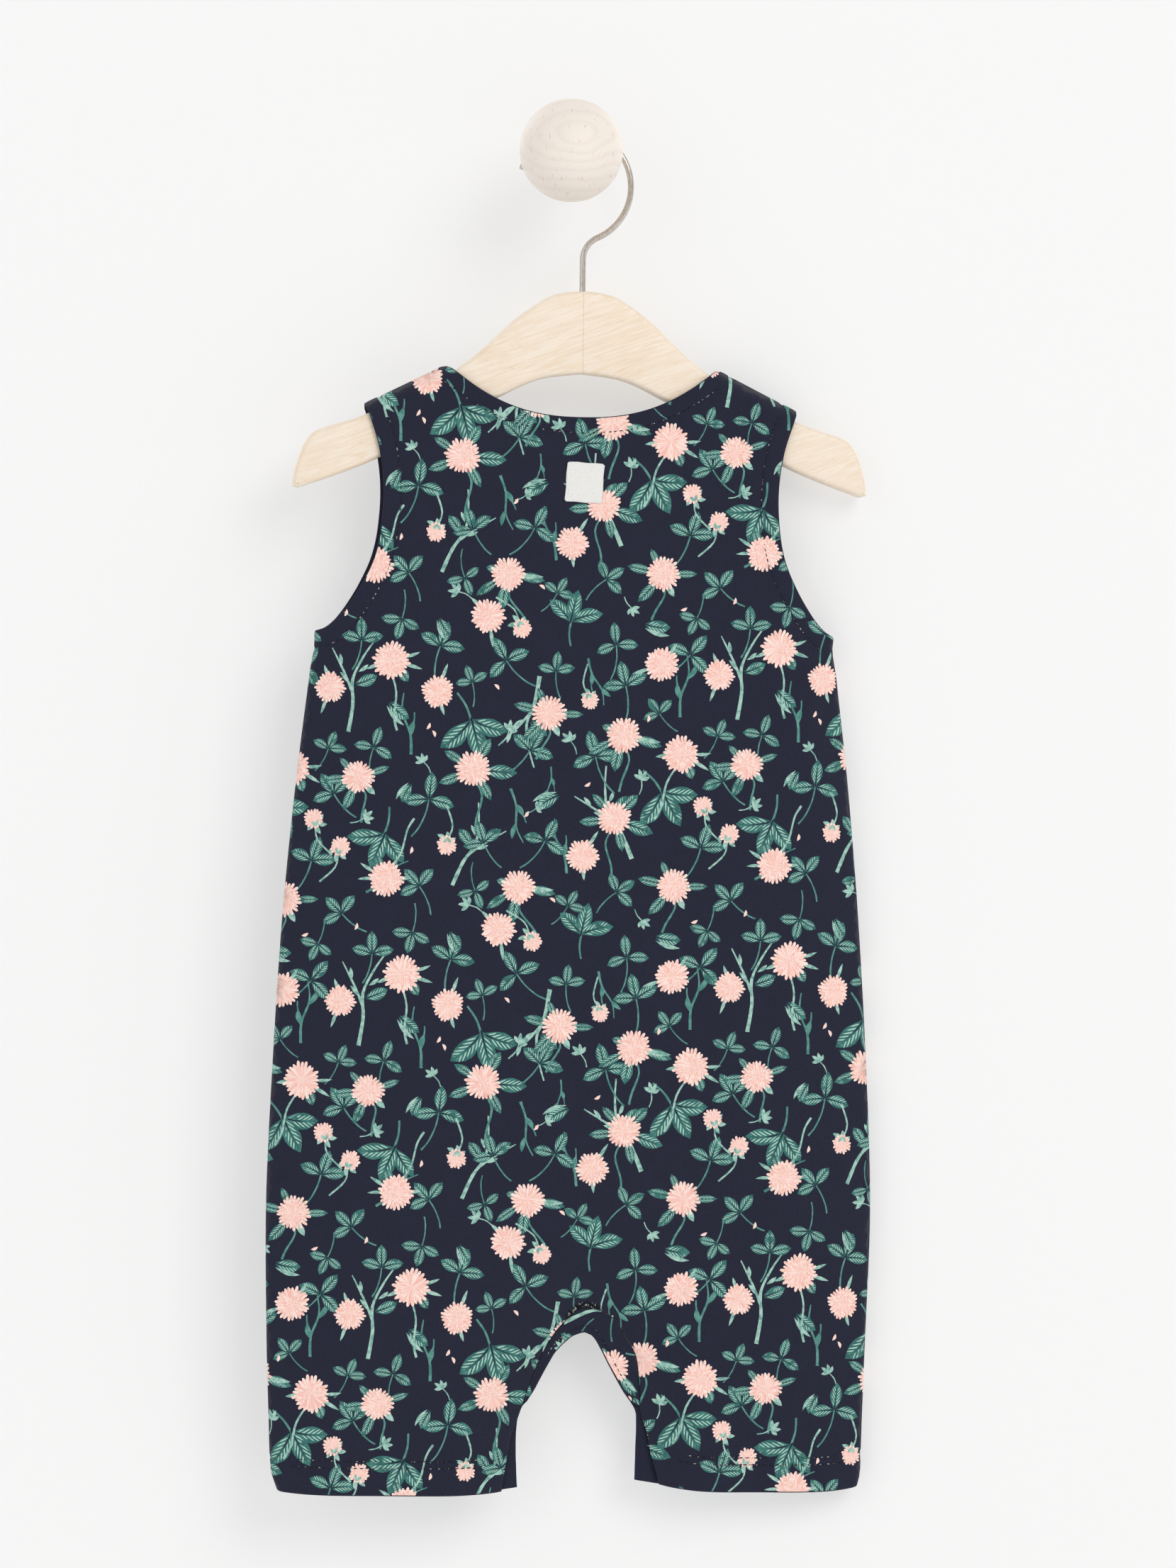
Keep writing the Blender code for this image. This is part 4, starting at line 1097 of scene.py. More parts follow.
def piece_from(name, mesh, finishes):
    made = bpy.data.objects.new(name, mesh)
    for finish in finishes:
        mesh.materials.append(finish)
    bpy.context.scene.collection.objects.link(made)
    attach(made, "root")
    return made


# ---------------------------------------------------------------- sewing
THREAD_RADIUS = 0.26
STITCH_SIDES = 6


def stitch_run(piece, line, long, gap, lift, skew=0.0):
    """Stitches along a line on the piece: (start, end, normal) of each in the hanging frame."""
    lengths = np.concatenate(([0.0], np.cumsum(np.hypot(*(line[1:] - line[:-1]).T))))
    count = max(1, int(lengths[-1] // (long + gap)))
    starts = (np.arange(count) + 0.5) * lengths[-1] / count - long / 2
    ends = starts + long

    def at(places):
        return np.stack([np.interp(places, lengths, line[:, axis]) for axis in (0, 1)], 1)

    first, last = at(starts), at(ends)
    if skew:
        run = last - first
        across = np.stack([-run[:, 1], run[:, 0]], 1) / np.maximum(np.hypot(*run.T), 1e-9)[:, None]
        first, last = first - across * skew, last + across * skew
    normal = piece.surface_normal((first + last) / 2)
    return list(zip(piece.surface(first) + normal * lift, piece.surface(last) + normal * lift, normal))


# Along a stitch, and its radius there as a share of the thread's.
STITCH_RINGS = ((0.0, 0.35), (0.12, 0.8), (0.3, 1.0), (0.7, 1.0), (0.88, 0.8), (1.0, 0.35))
STITCH_DIP = 1.1         # how far its ends go into the cloth, in radii


def stitches_mesh(name, stitches):
    """Short threads that dip into the cloth at both ends, as one mesh."""
    points, faces, count = [], [], 0
    turns = [2 * pi * side / STITCH_SIDES for side in range(STITCH_SIDES)]
    for start, end, normal in stitches:
        along = (end - start) / max(np.linalg.norm(end - start), 1e-9)
        aside = np.cross(along, normal)
        for reach, wide in STITCH_RINGS:
            dip = normal * THREAD_RADIUS * (1.0 - sin(pi * reach)) * STITCH_DIP
            middle = start + (end - start) * reach - dip
            for turn in turns:
                points.append(middle + (aside * cos(turn) + normal * sin(turn)) * THREAD_RADIUS * wide)
        rings = len(STITCH_RINGS)
        for ring in range(rings - 1):
            for side in range(STITCH_SIDES):
                a = count + ring * STITCH_SIDES + side
                b = count + ring * STITCH_SIDES + (side + 1) % STITCH_SIDES
                faces += [(a, b, a + STITCH_SIDES), (b, b + STITCH_SIDES, a + STITCH_SIDES)]
        last = count + (rings - 1) * STITCH_SIDES
        for side in range(1, STITCH_SIDES - 1):
            faces += [(count, count + side + 1, count + side), (last, last + side, last + side + 1)]
        count += rings * STITCH_SIDES
    return mesh_of(name, np.array(points), np.array(faces))


# ---------------------------------------------------------------- label and studs
LABEL_WIDTH, LABEL_HEIGHT, LABEL_THICK = 18.2, 19.4, 0.55
LABEL_CENTRE, LABEL_TILT = (1.3, 56.5), 3.2
LABEL_STEPS = 44
LABEL_CORNER = 0.7       # how far its corners are rounded
LABEL_GAP = 0.2          # between its underside and the cloth
LABEL_SEWN = 1.15        # how far its two rows of stitches are from its side edges


def label_place(across, down):
    """A place of the label, -1 to 1 each way, on the back panel's cloth."""
    turn = radians(LABEL_TILT)
    x, y = across * LABEL_WIDTH / 2, down * LABEL_HEIGHT / 2
    near = np.minimum(1.0 - np.abs(across), 1.0) * LABEL_WIDTH / 2
    low = np.minimum(1.0 - np.abs(down), 1.0) * LABEL_HEIGHT / 2
    pulled = np.clip(LABEL_CORNER - near, 0, None) * np.clip(LABEL_CORNER - low, 0, None) / LABEL_CORNER
    x = x - np.sign(across) * pulled * 0.6 + 0.12 * np.sin(down * 5.0) * np.abs(across) ** 8
    y = y - np.sign(down) * pulled * 0.6 + 0.1 * np.sin(across * 6.0 + 1.0) * np.abs(down) ** 8
    sideways = LABEL_CENTRE[0] + x * cos(turn) - y * sin(turn)
    depth = LABEL_CENTRE[1] + x * sin(turn) + y * cos(turn)
    return np.stack([sideways, depth], -1)


def label_mesh(panel):
    """A thin woven patch that lies on the panel, sewn down along its two sides."""
    share = np.linspace(-1.0, 1.0, LABEL_STEPS + 1)
    across, down = (grid.ravel() for grid in np.meshgrid(share, share))
    places = label_place(across, down)
    under, normal = panel.surface(places), panel.surface_normal(places)
    side = (1.0 - np.abs(across)) * LABEL_WIDTH / 2
    end = (1.0 - np.abs(down)) * LABEL_HEIGHT / 2
    lift = LABEL_THICK * (1.0 - 0.5 * np.exp(-np.minimum(side, end) / 0.18))
    lift += 0.16 * np.exp(-(((end - 0.9) / 0.8) ** 2)) - 0.2 * np.exp(-(((side - LABEL_SEWN) / 0.5) ** 2))
    lift += 0.25 * ease((across - 0.75) / 0.25) * ease((-down - 0.8) / 0.2)
    top, bottom = under + normal * (LABEL_GAP + lift)[:, None], under + normal * LABEL_GAP
    wide, count = LABEL_STEPS + 1, (LABEL_STEPS + 1) ** 2
    corner = (np.arange(LABEL_STEPS)[:, None] * wide + np.arange(LABEL_STEPS)).ravel()
    one, two = [corner, corner + 1, corner + wide], [corner + 1, corner + wide + 1, corner + wide]
    upper = np.concatenate([np.stack(one, 1), np.stack(two, 1)])
    border = np.concatenate(
        [
            np.arange(LABEL_STEPS),
            np.arange(LABEL_STEPS) * wide + LABEL_STEPS,
            LABEL_STEPS * wide + LABEL_STEPS - np.arange(LABEL_STEPS),
            (LABEL_STEPS - np.arange(LABEL_STEPS)) * wide,
        ]
    )
    after = np.roll(border, -1)
    walls = np.concatenate(
        [np.stack([after, border, border + count], 1), np.stack([after, border + count, after + count], 1)]
    )
    faces = np.concatenate([upper, walls, upper[:, ::-1] + count])
    cloth = np.tile(np.stack([across * LABEL_WIDTH / 2, down * LABEL_HEIGHT / 2], 1), (2, 1))
    return mesh_of("label", np.concatenate([top, bottom]), faces, None, {"cloth": cloth[faces.ravel()]})


STUD_RADIUS, STUD_THICK, STUD_SIDES = 4.4, 1.2, 48
# Rings of a stud's cap: share of its radius, share of its thickness above its seat.
STUD_RINGS = (
    (0.22, 0.80),
    (0.42, 0.84),
    (0.55, 0.93),
    (0.66, 1.0),
    (0.78, 0.98),
    (0.88, 0.84),
    (0.96, 0.58),
    (1.0, 0.32),
    (0.98, 0.1),
    (0.94, 0.0),
)
STUD_DEPTHS = (487.0, 512.0)


def stud_places():
    """Middles of the caps: one over the crotch, and two down each leg's band."""
    places = [(CROTCH_X, (CROTCH_DEPTH + FRONT_EDGE[0][0]) / 2)]
    for depth in STUD_DEPTHS:
        for column in (1, 2):
            seam, free = read(FRONT_ARCH, depth, column), read(FRONT_EDGE, depth, column)
            places.append((float(seam + free) / 2, depth))
    return places


def turned_mesh(name, rings, ends, middle, sides, placed):
    """A solid turned about a line along y, from rings of (radius, y) in millimetres."""
    turns = np.linspace(0.0, 2 * pi, sides, endpoint=False)
    points = [(middle[0], ends[0], middle[1])]
    for radius, y in rings:
        points += [(middle[0] + radius * cos(turn), y, middle[1] + radius * sin(turn)) for turn in turns]
    points.append((middle[0], ends[1], middle[1]))
    shape = bmesh.new()
    made = [shape.verts.new(placed @ (Vector(point) * MM)) for point in points]
    for side in range(sides):
        after = (side + 1) % sides
        shape.faces.new((made[0], made[1 + side], made[1 + after]))
        last = 1 + (len(rings) - 1) * sides
        shape.faces.new((made[last + side], made[last + after], made[-1]))
        for ring in range(len(rings) - 1):
            first = 1 + ring * sides
            shape.faces.new([made[first + i] for i in (side, after, after + sides, side + sides)])
    bmesh.ops.recalc_face_normals(shape, faces=shape.faces)
    mesh = bpy.data.meshes.new(name)
    shape.to_mesh(mesh)
    shape.free()
    mesh.shade_smooth()
    mesh.set_sharp_from_angle(angle=radians(35.0))
    return mesh


# ---------------------------------------------------------------- hanger, hook and knob
HANGER_THICK, HANGER_EDGE_ROUND = 12.0, 2.4
JOINT_ROUND, JOINT_GAP = 0.12, 0.02
WIRE_RADIUS, SHANK_HOLE_GAP, HOOK_SHANK_SUNK = 1.5, 0.35, 16.0
HOOK_RADIUS, HOOK_OFFSET = 27.3, -4.2
HOOK_TIP_ANGLE, HOOK_NECK_ANGLE = 164.0, -66.0
HOOK_ARC_STEPS, HOOK_BEND_STEPS, HOOK_SHANK_STEPS = 72, 24, 4
KNOB_BALL_RADIUS, KNOB_BALL_REACH = 25.0, 58.0
KNOB_STEM_RADIUS, KNOB_FOOT_RADIUS, KNOB_FOOT_THICK = 10.1, 14.0, 4.0
KNOB_FOOT_ROUND, KNOB_COVE = 1.0, 1.5
KNOB_STEPS, KNOB_SIDES = 56, 128
# Half of the hanger's outline: distance along it, height below the neck peaks.
HANGER_TOP = (
    (0.0, -36.6),
    (9.0, -35.9),
    (18.6, -32.7),
    (34.0, -21.8),
    (47.0, -9.4),
    (61.0, 1.9),
    (82.0, 13.6),
    (105.9, 25.2),
    (120.0, 30.0),
    (129.5, 33.4),
    (135.0, 39.5),
    (139.4, 52.0),
    (140.4, 60.4),
)
HANGER_BOTTOM = (
    (137.6, 61.2),
    (118.0, 54.2),
    (99.2, 46.2),
    (70.0, 31.2),
    (42.0, 16.4),
    (21.0, 6.6),
    (0.0, 3.5),
)


def hanger_half(hand):
    """One of the two glued halves, with its outer edges rounded and its joint left flat."""
    outline = smooth_route(HANGER_TOP, 5) + smooth_route(HANGER_BOTTOM, 6)
    shape = bmesh.new()
    placed = [
        shape.verts.new((hand * max(x, JOINT_GAP) * MM, -HANGER_THICK / 2 * MM, (NECK_PEAK_Z - y) * MM))
        for x, y in outline
    ]
    made = bmesh.ops.extrude_face_region(shape, geom=[shape.faces.new(placed)])
    moved = [item for item in made["geom"] if isinstance(item, bmesh.types.BMVert)]
    bmesh.ops.translate(shape, verts=moved, vec=(0, HANGER_THICK * MM, 0))
    bmesh.ops.recalc_face_normals(shape, faces=shape.faces)

    def in_joint(edge):
        return all(abs(vert.co.x) < 2 * JOINT_GAP * MM for vert in edge.verts)

    rims = [e for e in shape.edges if abs(e.verts[0].co.y - e.verts[1].co.y) < 1e-6 and not in_joint(e)]
    bmesh.ops.bevel(shape, geom=rims, offset=HANGER_EDGE_ROUND * MM, segments=5, profile=0.5, affect="EDGES")
    joint = [e for e in shape.edges if in_joint(e) and len(e.link_faces) == 2]
    bmesh.ops.bevel(shape, geom=joint, offset=JOINT_ROUND * MM, segments=1, affect="EDGES")
    for face in shape.faces:
        face.material_index = 0 if hand < 0 else 1
    mesh = bpy.data.meshes.new("half")
    shape.to_mesh(mesh)
    shape.free()
    return mesh


def hanger_mesh():
    """Both halves, with the hole that the hook's shank is set into."""
    both = bmesh.new()
    for hand in (-1, 1):
        both.from_mesh(hanger_half(hand))
    wood = bpy.data.meshes.new("hanger")
    both.to_mesh(wood)
    both.free()
    carrier = bpy.data.objects.new("hanger blank", wood)
    drill = bmesh.new()
    top, deep, over = NECK_PEAK_Z - HANGER_TOP[0][1], HOOK_SHANK_SUNK + SHANK_HOLE_GAP, 6.0
    bmesh.ops.create_cone(
        drill,
        cap_ends=True,
        segments=48,
        radius1=(WIRE_RADIUS + SHANK_HOLE_GAP) * MM,
        radius2=(WIRE_RADIUS + SHANK_HOLE_GAP) * MM,
        depth=(deep + over) * MM,
        matrix=Matrix.Translation((0, 0, (top + (over - deep) / 2) * MM)),
    )
    drill_mesh = bpy.data.meshes.new("drill")
    drill.to_mesh(drill_mesh)
    drill.free()
    cutter = bpy.data.objects.new("drill", drill_mesh)
    for thing in (carrier, cutter):
        bpy.context.scene.collection.objects.link(thing)
    cut = carrier.modifiers.new("shank hole", "BOOLEAN")
    cut.operation, cut.object, cut.solver = "DIFFERENCE", cutter, "EXACT"
    bpy.context.view_layer.update()
    mesh = bpy.data.meshes.new_from_object(carrier.evaluated_get(bpy.context.evaluated_depsgraph_get()))
    mesh.name = "hanger"
    for thing in (carrier, cutter):
        bpy.data.objects.remove(thing)
    mesh.materials.clear()
    mesh.shade_smooth()
    mesh.set_sharp_from_angle(angle=radians(30.0))
    return mesh


def hook_line():
    """Middle of the wire: cut tip, arc over the knob's stem, bend back to the middle, shank."""
    tip, neck = radians(HOOK_TIP_ANGLE), radians(HOOK_NECK_ANGLE)
    turns = np.linspace(tip, neck, HOOK_ARC_STEPS + 1)
    line = [(HOOK_OFFSET + HOOK_RADIUS * cos(turn), HOOK_RADIUS * sin(turn)) for turn in turns]
    start_x, start_z = line[-1]
    turn = -neck
    bend = start_x / (1.0 - cos(turn))
    for left in np.linspace(turn, 0.0, HOOK_BEND_STEPS + 1)[1:]:
        line.append((bend * (1.0 - cos(left)), start_z - bend * (sin(turn) - sin(left))))
    bottom, low = NECK_PEAK_Z - HANGER_TOP[0][1] - HOOK_SHANK_SUNK, line[-1][1]
    for step in range(1, HOOK_SHANK_STEPS + 1):
        line.append((0.0, low + (bottom - low) * step / HOOK_SHANK_STEPS))
    return line


WIRE_SIDES, WIRE_CHAMFER = 32, 0.3


def hook_mesh(sides=WIRE_SIDES):
    """The wire, round in section, with a small chamfer at its cut tip."""
    line = np.array(hook_line())
    run = np.gradient(line, axis=0)
    run /= np.hypot(*run.T)[:, None]
    centres = np.concatenate([line[:1], line[:1] + run[:1] * WIRE_CHAMFER, line[1:]])
    runs = np.concatenate([run[:1], run[:1], run[1:]])
    radii = np.full(len(centres), WIRE_RADIUS)
    radii[0] = WIRE_RADIUS - WIRE_CHAMFER
    turns = np.linspace(0.0, 2 * pi, sides, endpoint=False)
    points, faces = [], []
    for (x, z), (along_x, along_z), radius in zip(centres, runs, radii):
        for turn in turns:
            sideways, down = along_z * radius * cos(turn), along_x * radius * cos(turn)
            points.append((x + sideways, radius * sin(turn), z - down))
    for ring in range(len(centres) - 1):
        for side in range(sides):
            a, b = ring * sides + side, ring * sides + (side + 1) % sides
            faces += [(a, b, a + sides), (b, b + sides, a + sides)]
    for start, turn in ((0, 1), ((len(centres) - 1) * sides, -1)):
        for side in range(1, sides - 1):
            faces.append((start, start + side + 1, start + side)[::turn])
    mesh = mesh_of("hook", np.array(points), np.array(faces))
    mesh.set_sharp_from_angle(angle=radians(35.0))
    return mesh


def knob_mesh():
    """Foot against the wall, stem with a small cove, and ball."""
    rings = [
        (KNOB_FOOT_RADIUS - 0.3, 0.0),
        (KNOB_FOOT_RADIUS, -0.3),
        (KNOB_FOOT_RADIUS, KNOB_FOOT_ROUND - KNOB_FOOT_THICK),
    ]
    for turn in np.linspace(0.0, pi / 2, 6)[1:]:
        radius = KNOB_FOOT_RADIUS - KNOB_FOOT_ROUND * (1 - cos(turn))
        rings.append((radius, KNOB_FOOT_ROUND * (1 - sin(turn)) - KNOB_FOOT_THICK))
    rings.append((KNOB_STEM_RADIUS, -KNOB_FOOT_THICK - KNOB_COVE))
    meet = asin(KNOB_STEM_RADIUS / KNOB_BALL_RADIUS)
    for turn in np.linspace(meet, pi, KNOB_STEPS, endpoint=False):
        rings.append((KNOB_BALL_RADIUS * sin(turn), KNOB_BALL_RADIUS * cos(turn) - KNOB_BALL_REACH))
    ends = (0.0, -KNOB_BALL_REACH - KNOB_BALL_RADIUS)
    return turned_mesh("knob", rings, ends, (0.0, 0.0), KNOB_SIDES, Matrix())


# ---------------------------------------------------------------- laying out material nodes
def srgb(red, green, blue):
    """A colour read off a screen, 0 to 255, as the renderer counts it."""
    return tuple(
        part / 12.92 if part <= 0.04045 else ((part + 0.055) / 1.055) ** 2.4
        for part in (red / 255, green / 255, blue / 255)
    ) + (1.0,)


def node(tree, kind, inputs=None, **settings):
    made = tree.nodes.new("ShaderNode" + kind)
    for name, value in settings.items():
        setattr(made, name, value)
    for key, value in (inputs or {}).items():
        if isinstance(value, bpy.types.NodeSocket):
            tree.links.new(value, made.inputs[key])
        else:
            made.inputs[key].default_value = value
    return made


def sum_up(tree, operation, *values, clamp=False):
    made = node(tree, "Math", dict(enumerate(values)), operation=operation, use_clamp=clamp)
    return made.outputs[0]


def times(tree, first, second):
    return sum_up(tree, "MULTIPLY", first, second)


def scaled(tree, place, factors):
    return node(tree, "VectorMath", {0: place, 1: factors}, operation="MULTIPLY").outputs[0]


def layer(tree, name):
    """Where the surface lies in a mesh's own layer: "cloth" in millimetres, or "motif"."""
    return node(tree, "UVMap", uv_map=name).outputs[0]


def object_place(tree):
    return node(tree, "TexCoord").outputs["Object"]


def smooth_step(tree, value, low, high):
    """0 below low and 1 above high, smoothly between them; low may be the higher."""
    made = node(
        tree,
        "MapRange",
        {"Value": value, "From Min": low, "From Max": high},
        interpolation_type="SMOOTHSTEP",
    )
    return made.outputs[0]


def blend(tree, share, first, second, how="MIX"):
    made = node(tree, "Mix", data_type="RGBA", blend_type=how)
    for place, value in ((0, share), (6, first), (7, second)):
        if isinstance(value, bpy.types.NodeSocket):
            tree.links.new(value, made.inputs[place])
        else:
            made.inputs[place].default_value = value
    return made.outputs[2]


def noise(tree, where, scale, detail=2.0, roughness=0.5, distortion=0.0):
    made = node(
        tree,
        "TexNoise",
        {"Vector": where, "Scale": scale, "Detail": detail, "Roughness": roughness, "Distortion": distortion},
    )
    return made.outputs["Fac"]


def group(name, inputs, outputs):
    """A new node group: inputs are (name, kind, value) and outputs are (name, kind)."""
    tree = bpy.data.node_groups.new(name, "ShaderNodeTree")
    for label, kind, value in inputs:
        made = tree.interface.new_socket(label, in_out="INPUT", socket_type="NodeSocket" + kind)
        made.default_value = value
    for label, kind in outputs:
        tree.interface.new_socket(label, in_out="OUTPUT", socket_type="NodeSocket" + kind)
    return tree, tree.nodes.new("NodeGroupInput").outputs, tree.nodes.new("NodeGroupOutput")


def finish_group(tree, end, results):
    for label, socket in results.items():
        tree.links.new(socket, end.inputs[label])
    return tree


def place_group(tree, made, **inputs):
    placed = tree.nodes.new("ShaderNodeGroup")
    placed.node_tree = made
    for label, value in inputs.items():
        socket = placed.inputs[label.replace("_", " ")]
        if isinstance(value, bpy.types.NodeSocket):
            tree.links.new(value, socket)
        else:
            socket.default_value = value
    return placed.outputs


# ---------------------------------------------------------------- effects that several finishes use
WALE, COURSE = 0.86, 0.68        # width and height of one knitted stitch, mm


def jersey_knit():
    """Columns of small V-shaped stitches with slightly uneven tension, and a thin fuzz. Its Shade is partly
    painted shade: darker in the knit's grooves, lighter on its loops and raised yarn.
    """
    tree, start, end = group(
        "jersey knit",
        [("Rib Depth", "Float", 1.0), ("Mottle", "Float", 0.08)],
        [("Shade", "Float"), ("Height", "Float"), ("Fuzz", "Float")],
    )
    place = layer(tree, "cloth")
    split = node(tree, "SeparateXYZ", {0: place}).outputs
    wander = noise(tree, place, 0.35, 2.0)
    across = sum_up(tree, "MULTIPLY_ADD", wander, 0.5, split[0])
    wale = sum_up(tree, "DIVIDE", across, WALE)
    rib = sum_up(tree, "COSINE", times(tree, wale, 2 * pi))
    lean = sum_up(tree, "PINGPONG", wale, 0.5)
    course = sum_up(tree, "MULTIPLY_ADD", lean, 0.9, sum_up(tree, "DIVIDE", split[1], COURSE))
    loop = sum_up(tree, "COSINE", times(tree, course, 2 * pi))
    knit = sum_up(tree, "MULTIPLY_ADD", loop, 0.22, times(tree, rib, 0.5))
    deep = times(tree, knit, start["Rib Depth"])
    yarn = noise(tree, place, 1.9, 3.0, 0.65)
    height = sum_up(tree, "MULTIPLY_ADD", yarn, 0.7, deep)
    soft = noise(tree, place, 0.09, 3.0, 0.6)
    # Painted shade: the knit's own height darkens the colour in its grooves and lightens it on its loops; the
    # yarn's height below does the same, mixed with real uneven yarn tone.
    shade = sum_up(tree, "MULTIPLY_ADD", deep, 0.13, 1.0)
    shade = sum_up(tree, "ADD", shade, times(tree, sum_up(tree, "SUBTRACT", soft, 0.5), start["Mottle"]))
    shade = sum_up(tree, "ADD", shade, times(tree, sum_up(tree, "SUBTRACT", yarn, 0.5), 0.35))
    fuzz = smooth_step(tree, noise(tree, place, 1.3, 4.0, 0.8, 1.2), 0.60, 0.78)
    return finish_group(tree, end, {"Shade": shade, "Height": height, "Fuzz": fuzz})


def leaf_drawing():
    """A mid-vein from the leaf's foot, and short strokes beside it that slant towards the tip."""
    tree, start, end = group(
        "leaf drawing",
        [("Strokes", "Float", 7.5), ("Slant", "Float", 0.34)],
        [("Vein", "Float"), ("Stroke", "Float")],
    )
    motif = layer(tree, "motif")
    cloth = layer(tree, "cloth")
    split = node(tree, "SeparateXYZ", {0: motif}).outputs
    wobble = sum_up(tree, "SUBTRACT", noise(tree, cloth, 0.5, 2.0), 0.5)
    out = sum_up(tree, "ABSOLUTE", sum_up(tree, "MULTIPLY_ADD", wobble, 0.12, split[1]))
    vein_half = sum_up(tree, "MULTIPLY_ADD", split[0], -0.16, 0.12)
    vein = smooth_step(tree, sum_up(tree, "SUBTRACT", vein_half, out), -0.02, 0.03)
    phase = sum_up(tree, "MULTIPLY_ADD", out, times(tree, start["Slant"], -1.0), split[0])
    phase = sum_up(tree, "MULTIPLY_ADD", wobble, 0.03, phase)
    saw = sum_up(tree, "PINGPONG", times(tree, phase, start["Strokes"]), 0.5)
    fade = smooth_step(tree, out, 0.8, 0.5)
    near = smooth_step(tree, out, 0.1, 0.2)
    wide = times(tree, fade, 0.23)
    stroke = smooth_step(tree, sum_up(tree, "SUBTRACT", wide, saw), -0.03, 0.05)
    along = times(tree, smooth_step(tree, split[0], 0.12, 0.24), smooth_step(tree, split[0], 0.9, 0.78))
    worn = smooth_step(tree, noise(tree, cloth, 0.16, 1.0), 0.28, 0.42)
    stroke = times(tree, times(tree, stroke, near), times(tree, along, worn))
    return finish_group(tree, end, {"Vein": vein, "Stroke": stroke})


def flower_drawing():
    """Short strokes that run out from the middle of a flower head."""
    tree, _start, end = group(
        "flower drawing", [], [("Pale", "Float"), ("Deep", "Float"), ("Rim", "Float")]
    )
    motif = layer(tree, "motif")
    cloth = layer(tree, "cloth")
    away = node(tree, "VectorMath", {0: motif}, operation="LENGTH").outputs["Value"]
    heading = node(tree, "VectorMath", {0: motif}, operation="NORMALIZE").outputs[0]
    spread = node(tree, "VectorMath", {0: heading, "Scale": 4.6}, operation="SCALE").outputs[0]
    split = node(tree, "SeparateXYZ", {0: spread}).outputs
    seed = noise(tree, cloth, 0.05, 0.0)
    depth = sum_up(tree, "MULTIPLY_ADD", away, 2.6, times(tree, seed, 9.0))
    where = node(tree, "CombineXYZ", {0: split[0], 1: split[1], 2: depth}).outputs[0]
    strokes = noise(tree, where, 1.5, 2.0, 0.6, 0.6)
    pale = smooth_step(tree, strokes, 0.49, 0.56)
    deep = smooth_step(tree, strokes, 0.47, 0.37)
    rim = smooth_step(tree, away, 0.8, 1.0)
    return finish_group(tree, end, {"Pale": pale, "Deep": deep, "Rim": rim})


def wood_grain():
    """Long fibres with slow bands, and small dark flecks; the grain runs along x before its turn."""
    tree, start, end = group(
        "wood grain",
        [("Turn", "Float", 0.0), ("Bands", "Float", 1.0), ("Offset", "Float", 0.0)],
        [("Band", "Float"), ("Fibre", "Float"), ("Fleck", "Float")],
    )
    place = object_place(tree)
    turned = node(
        tree, "VectorRotate", {"Vector": place, "Angle": start["Turn"]}, rotation_type="Y_AXIS"
    ).outputs[0]
    offset = node(tree, "CombineXYZ", {1: start["Offset"]}).outputs[0]
    moved = node(tree, "VectorMath", {0: turned, 1: offset}, operation="ADD").outputs[0]

    def stretched(long, wide):
        return scaled(tree, moved, (long, wide, wide))

    band = noise(tree, stretched(9.0, 120.0), 1.0, 3.0, 0.6, 0.25)
    line = sum_up(tree, "PINGPONG", times(tree, band, times(tree, start["Bands"], 9.0)), 0.5)
    fibre = noise(tree, stretched(60.0, 1500.0), 1.0, 3.0, 0.65)
    fleck = smooth_step(tree, noise(tree, stretched(260.0, 1900.0), 1.0, 1.0), 0.66, 0.74)
    return finish_group(
        tree, end, {"Band": smooth_step(tree, line, 0.05, 0.45), "Fibre": fibre, "Fleck": fleck}
    )


# ---------------------------------------------------------------- finishes
NAVY = srgb(30, 32, 51)
LEAF, LEAF_DARK = srgb(65, 124, 116), srgb(48, 98, 96)
STEM, SPROUT = srgb(100, 152, 143), srgb(171, 208, 195)
PINK, PALE_PINK, DEEP_PINK = srgb(247, 200, 188), srgb(252, 233, 224), srgb(239, 170, 159)
THREAD, GLINT = srgb(12, 13, 22), srgb(205, 204, 200)
CREAM, CREAM_FUZZ = srgb(232, 224, 210), srgb(250, 246, 238)
PALE_FUZZ, NAVY_FUZZ = srgb(214, 214, 222), srgb(96, 100, 128)
PAPER_WHITE, SOFT_WHITE = srgb(254, 254, 251), srgb(244, 242, 237)
BIRCH_LIGHT, BIRCH_MID, BIRCH_DARK = srgb(247, 240, 231), srgb(238, 223, 205), srgb(216, 182, 146)
BIRCH_WARM, BIRCH_CLOUD = srgb(236, 216, 189), srgb(244, 231, 218)
BEECH_LIGHT, BEECH_MID, BEECH_DARK = srgb(240, 231, 222), srgb(233, 219, 207), srgb(212, 190, 172)
NICKEL, STUD_PLATE = srgb(226, 217, 207), srgb(205, 203, 198)
WALL_PAINT, FLOOR_PAINT, PAINT_FLECK = srgb(182, 182, 182), srgb(214, 214, 214), srgb(225, 225, 225)

COTTON_ROUGHNESS = 0.92
KNIT_BUMP = 0.12 * MM


def finish(name, roughness, metallic=0.0, sheen=0.0):
    made = bpy.data.materials.new(name)
    made.use_nodes = True
    shader = made.node_tree.nodes["Principled BSDF"]
    shader.inputs["Roughness"].default_value = roughness
    shader.inputs["Metallic"].default_value = metallic
    shader.inputs["Sheen Weight"].default_value = sheen
    shader.inputs["Sheen Roughness"].default_value = 0.6
    shader.inputs["Specular IOR Level"].default_value = 0.25
    return made, made.node_tree, shader


def raise_surface(tree, shader, height, distance, strength=1.0):
    made = node(tree, "Bump", {"Height": height, "Distance": distance, "Strength": strength})
    tree.links.new(made.outputs[0], shader.inputs["Normal"])


def shaded(tree, colour, shade):
    grey = node(tree, "CombineColor", {0: shade, 1: shade, 2: shade}).outputs[0]
    return blend(tree, 1.0, colour, grey, "MULTIPLY")


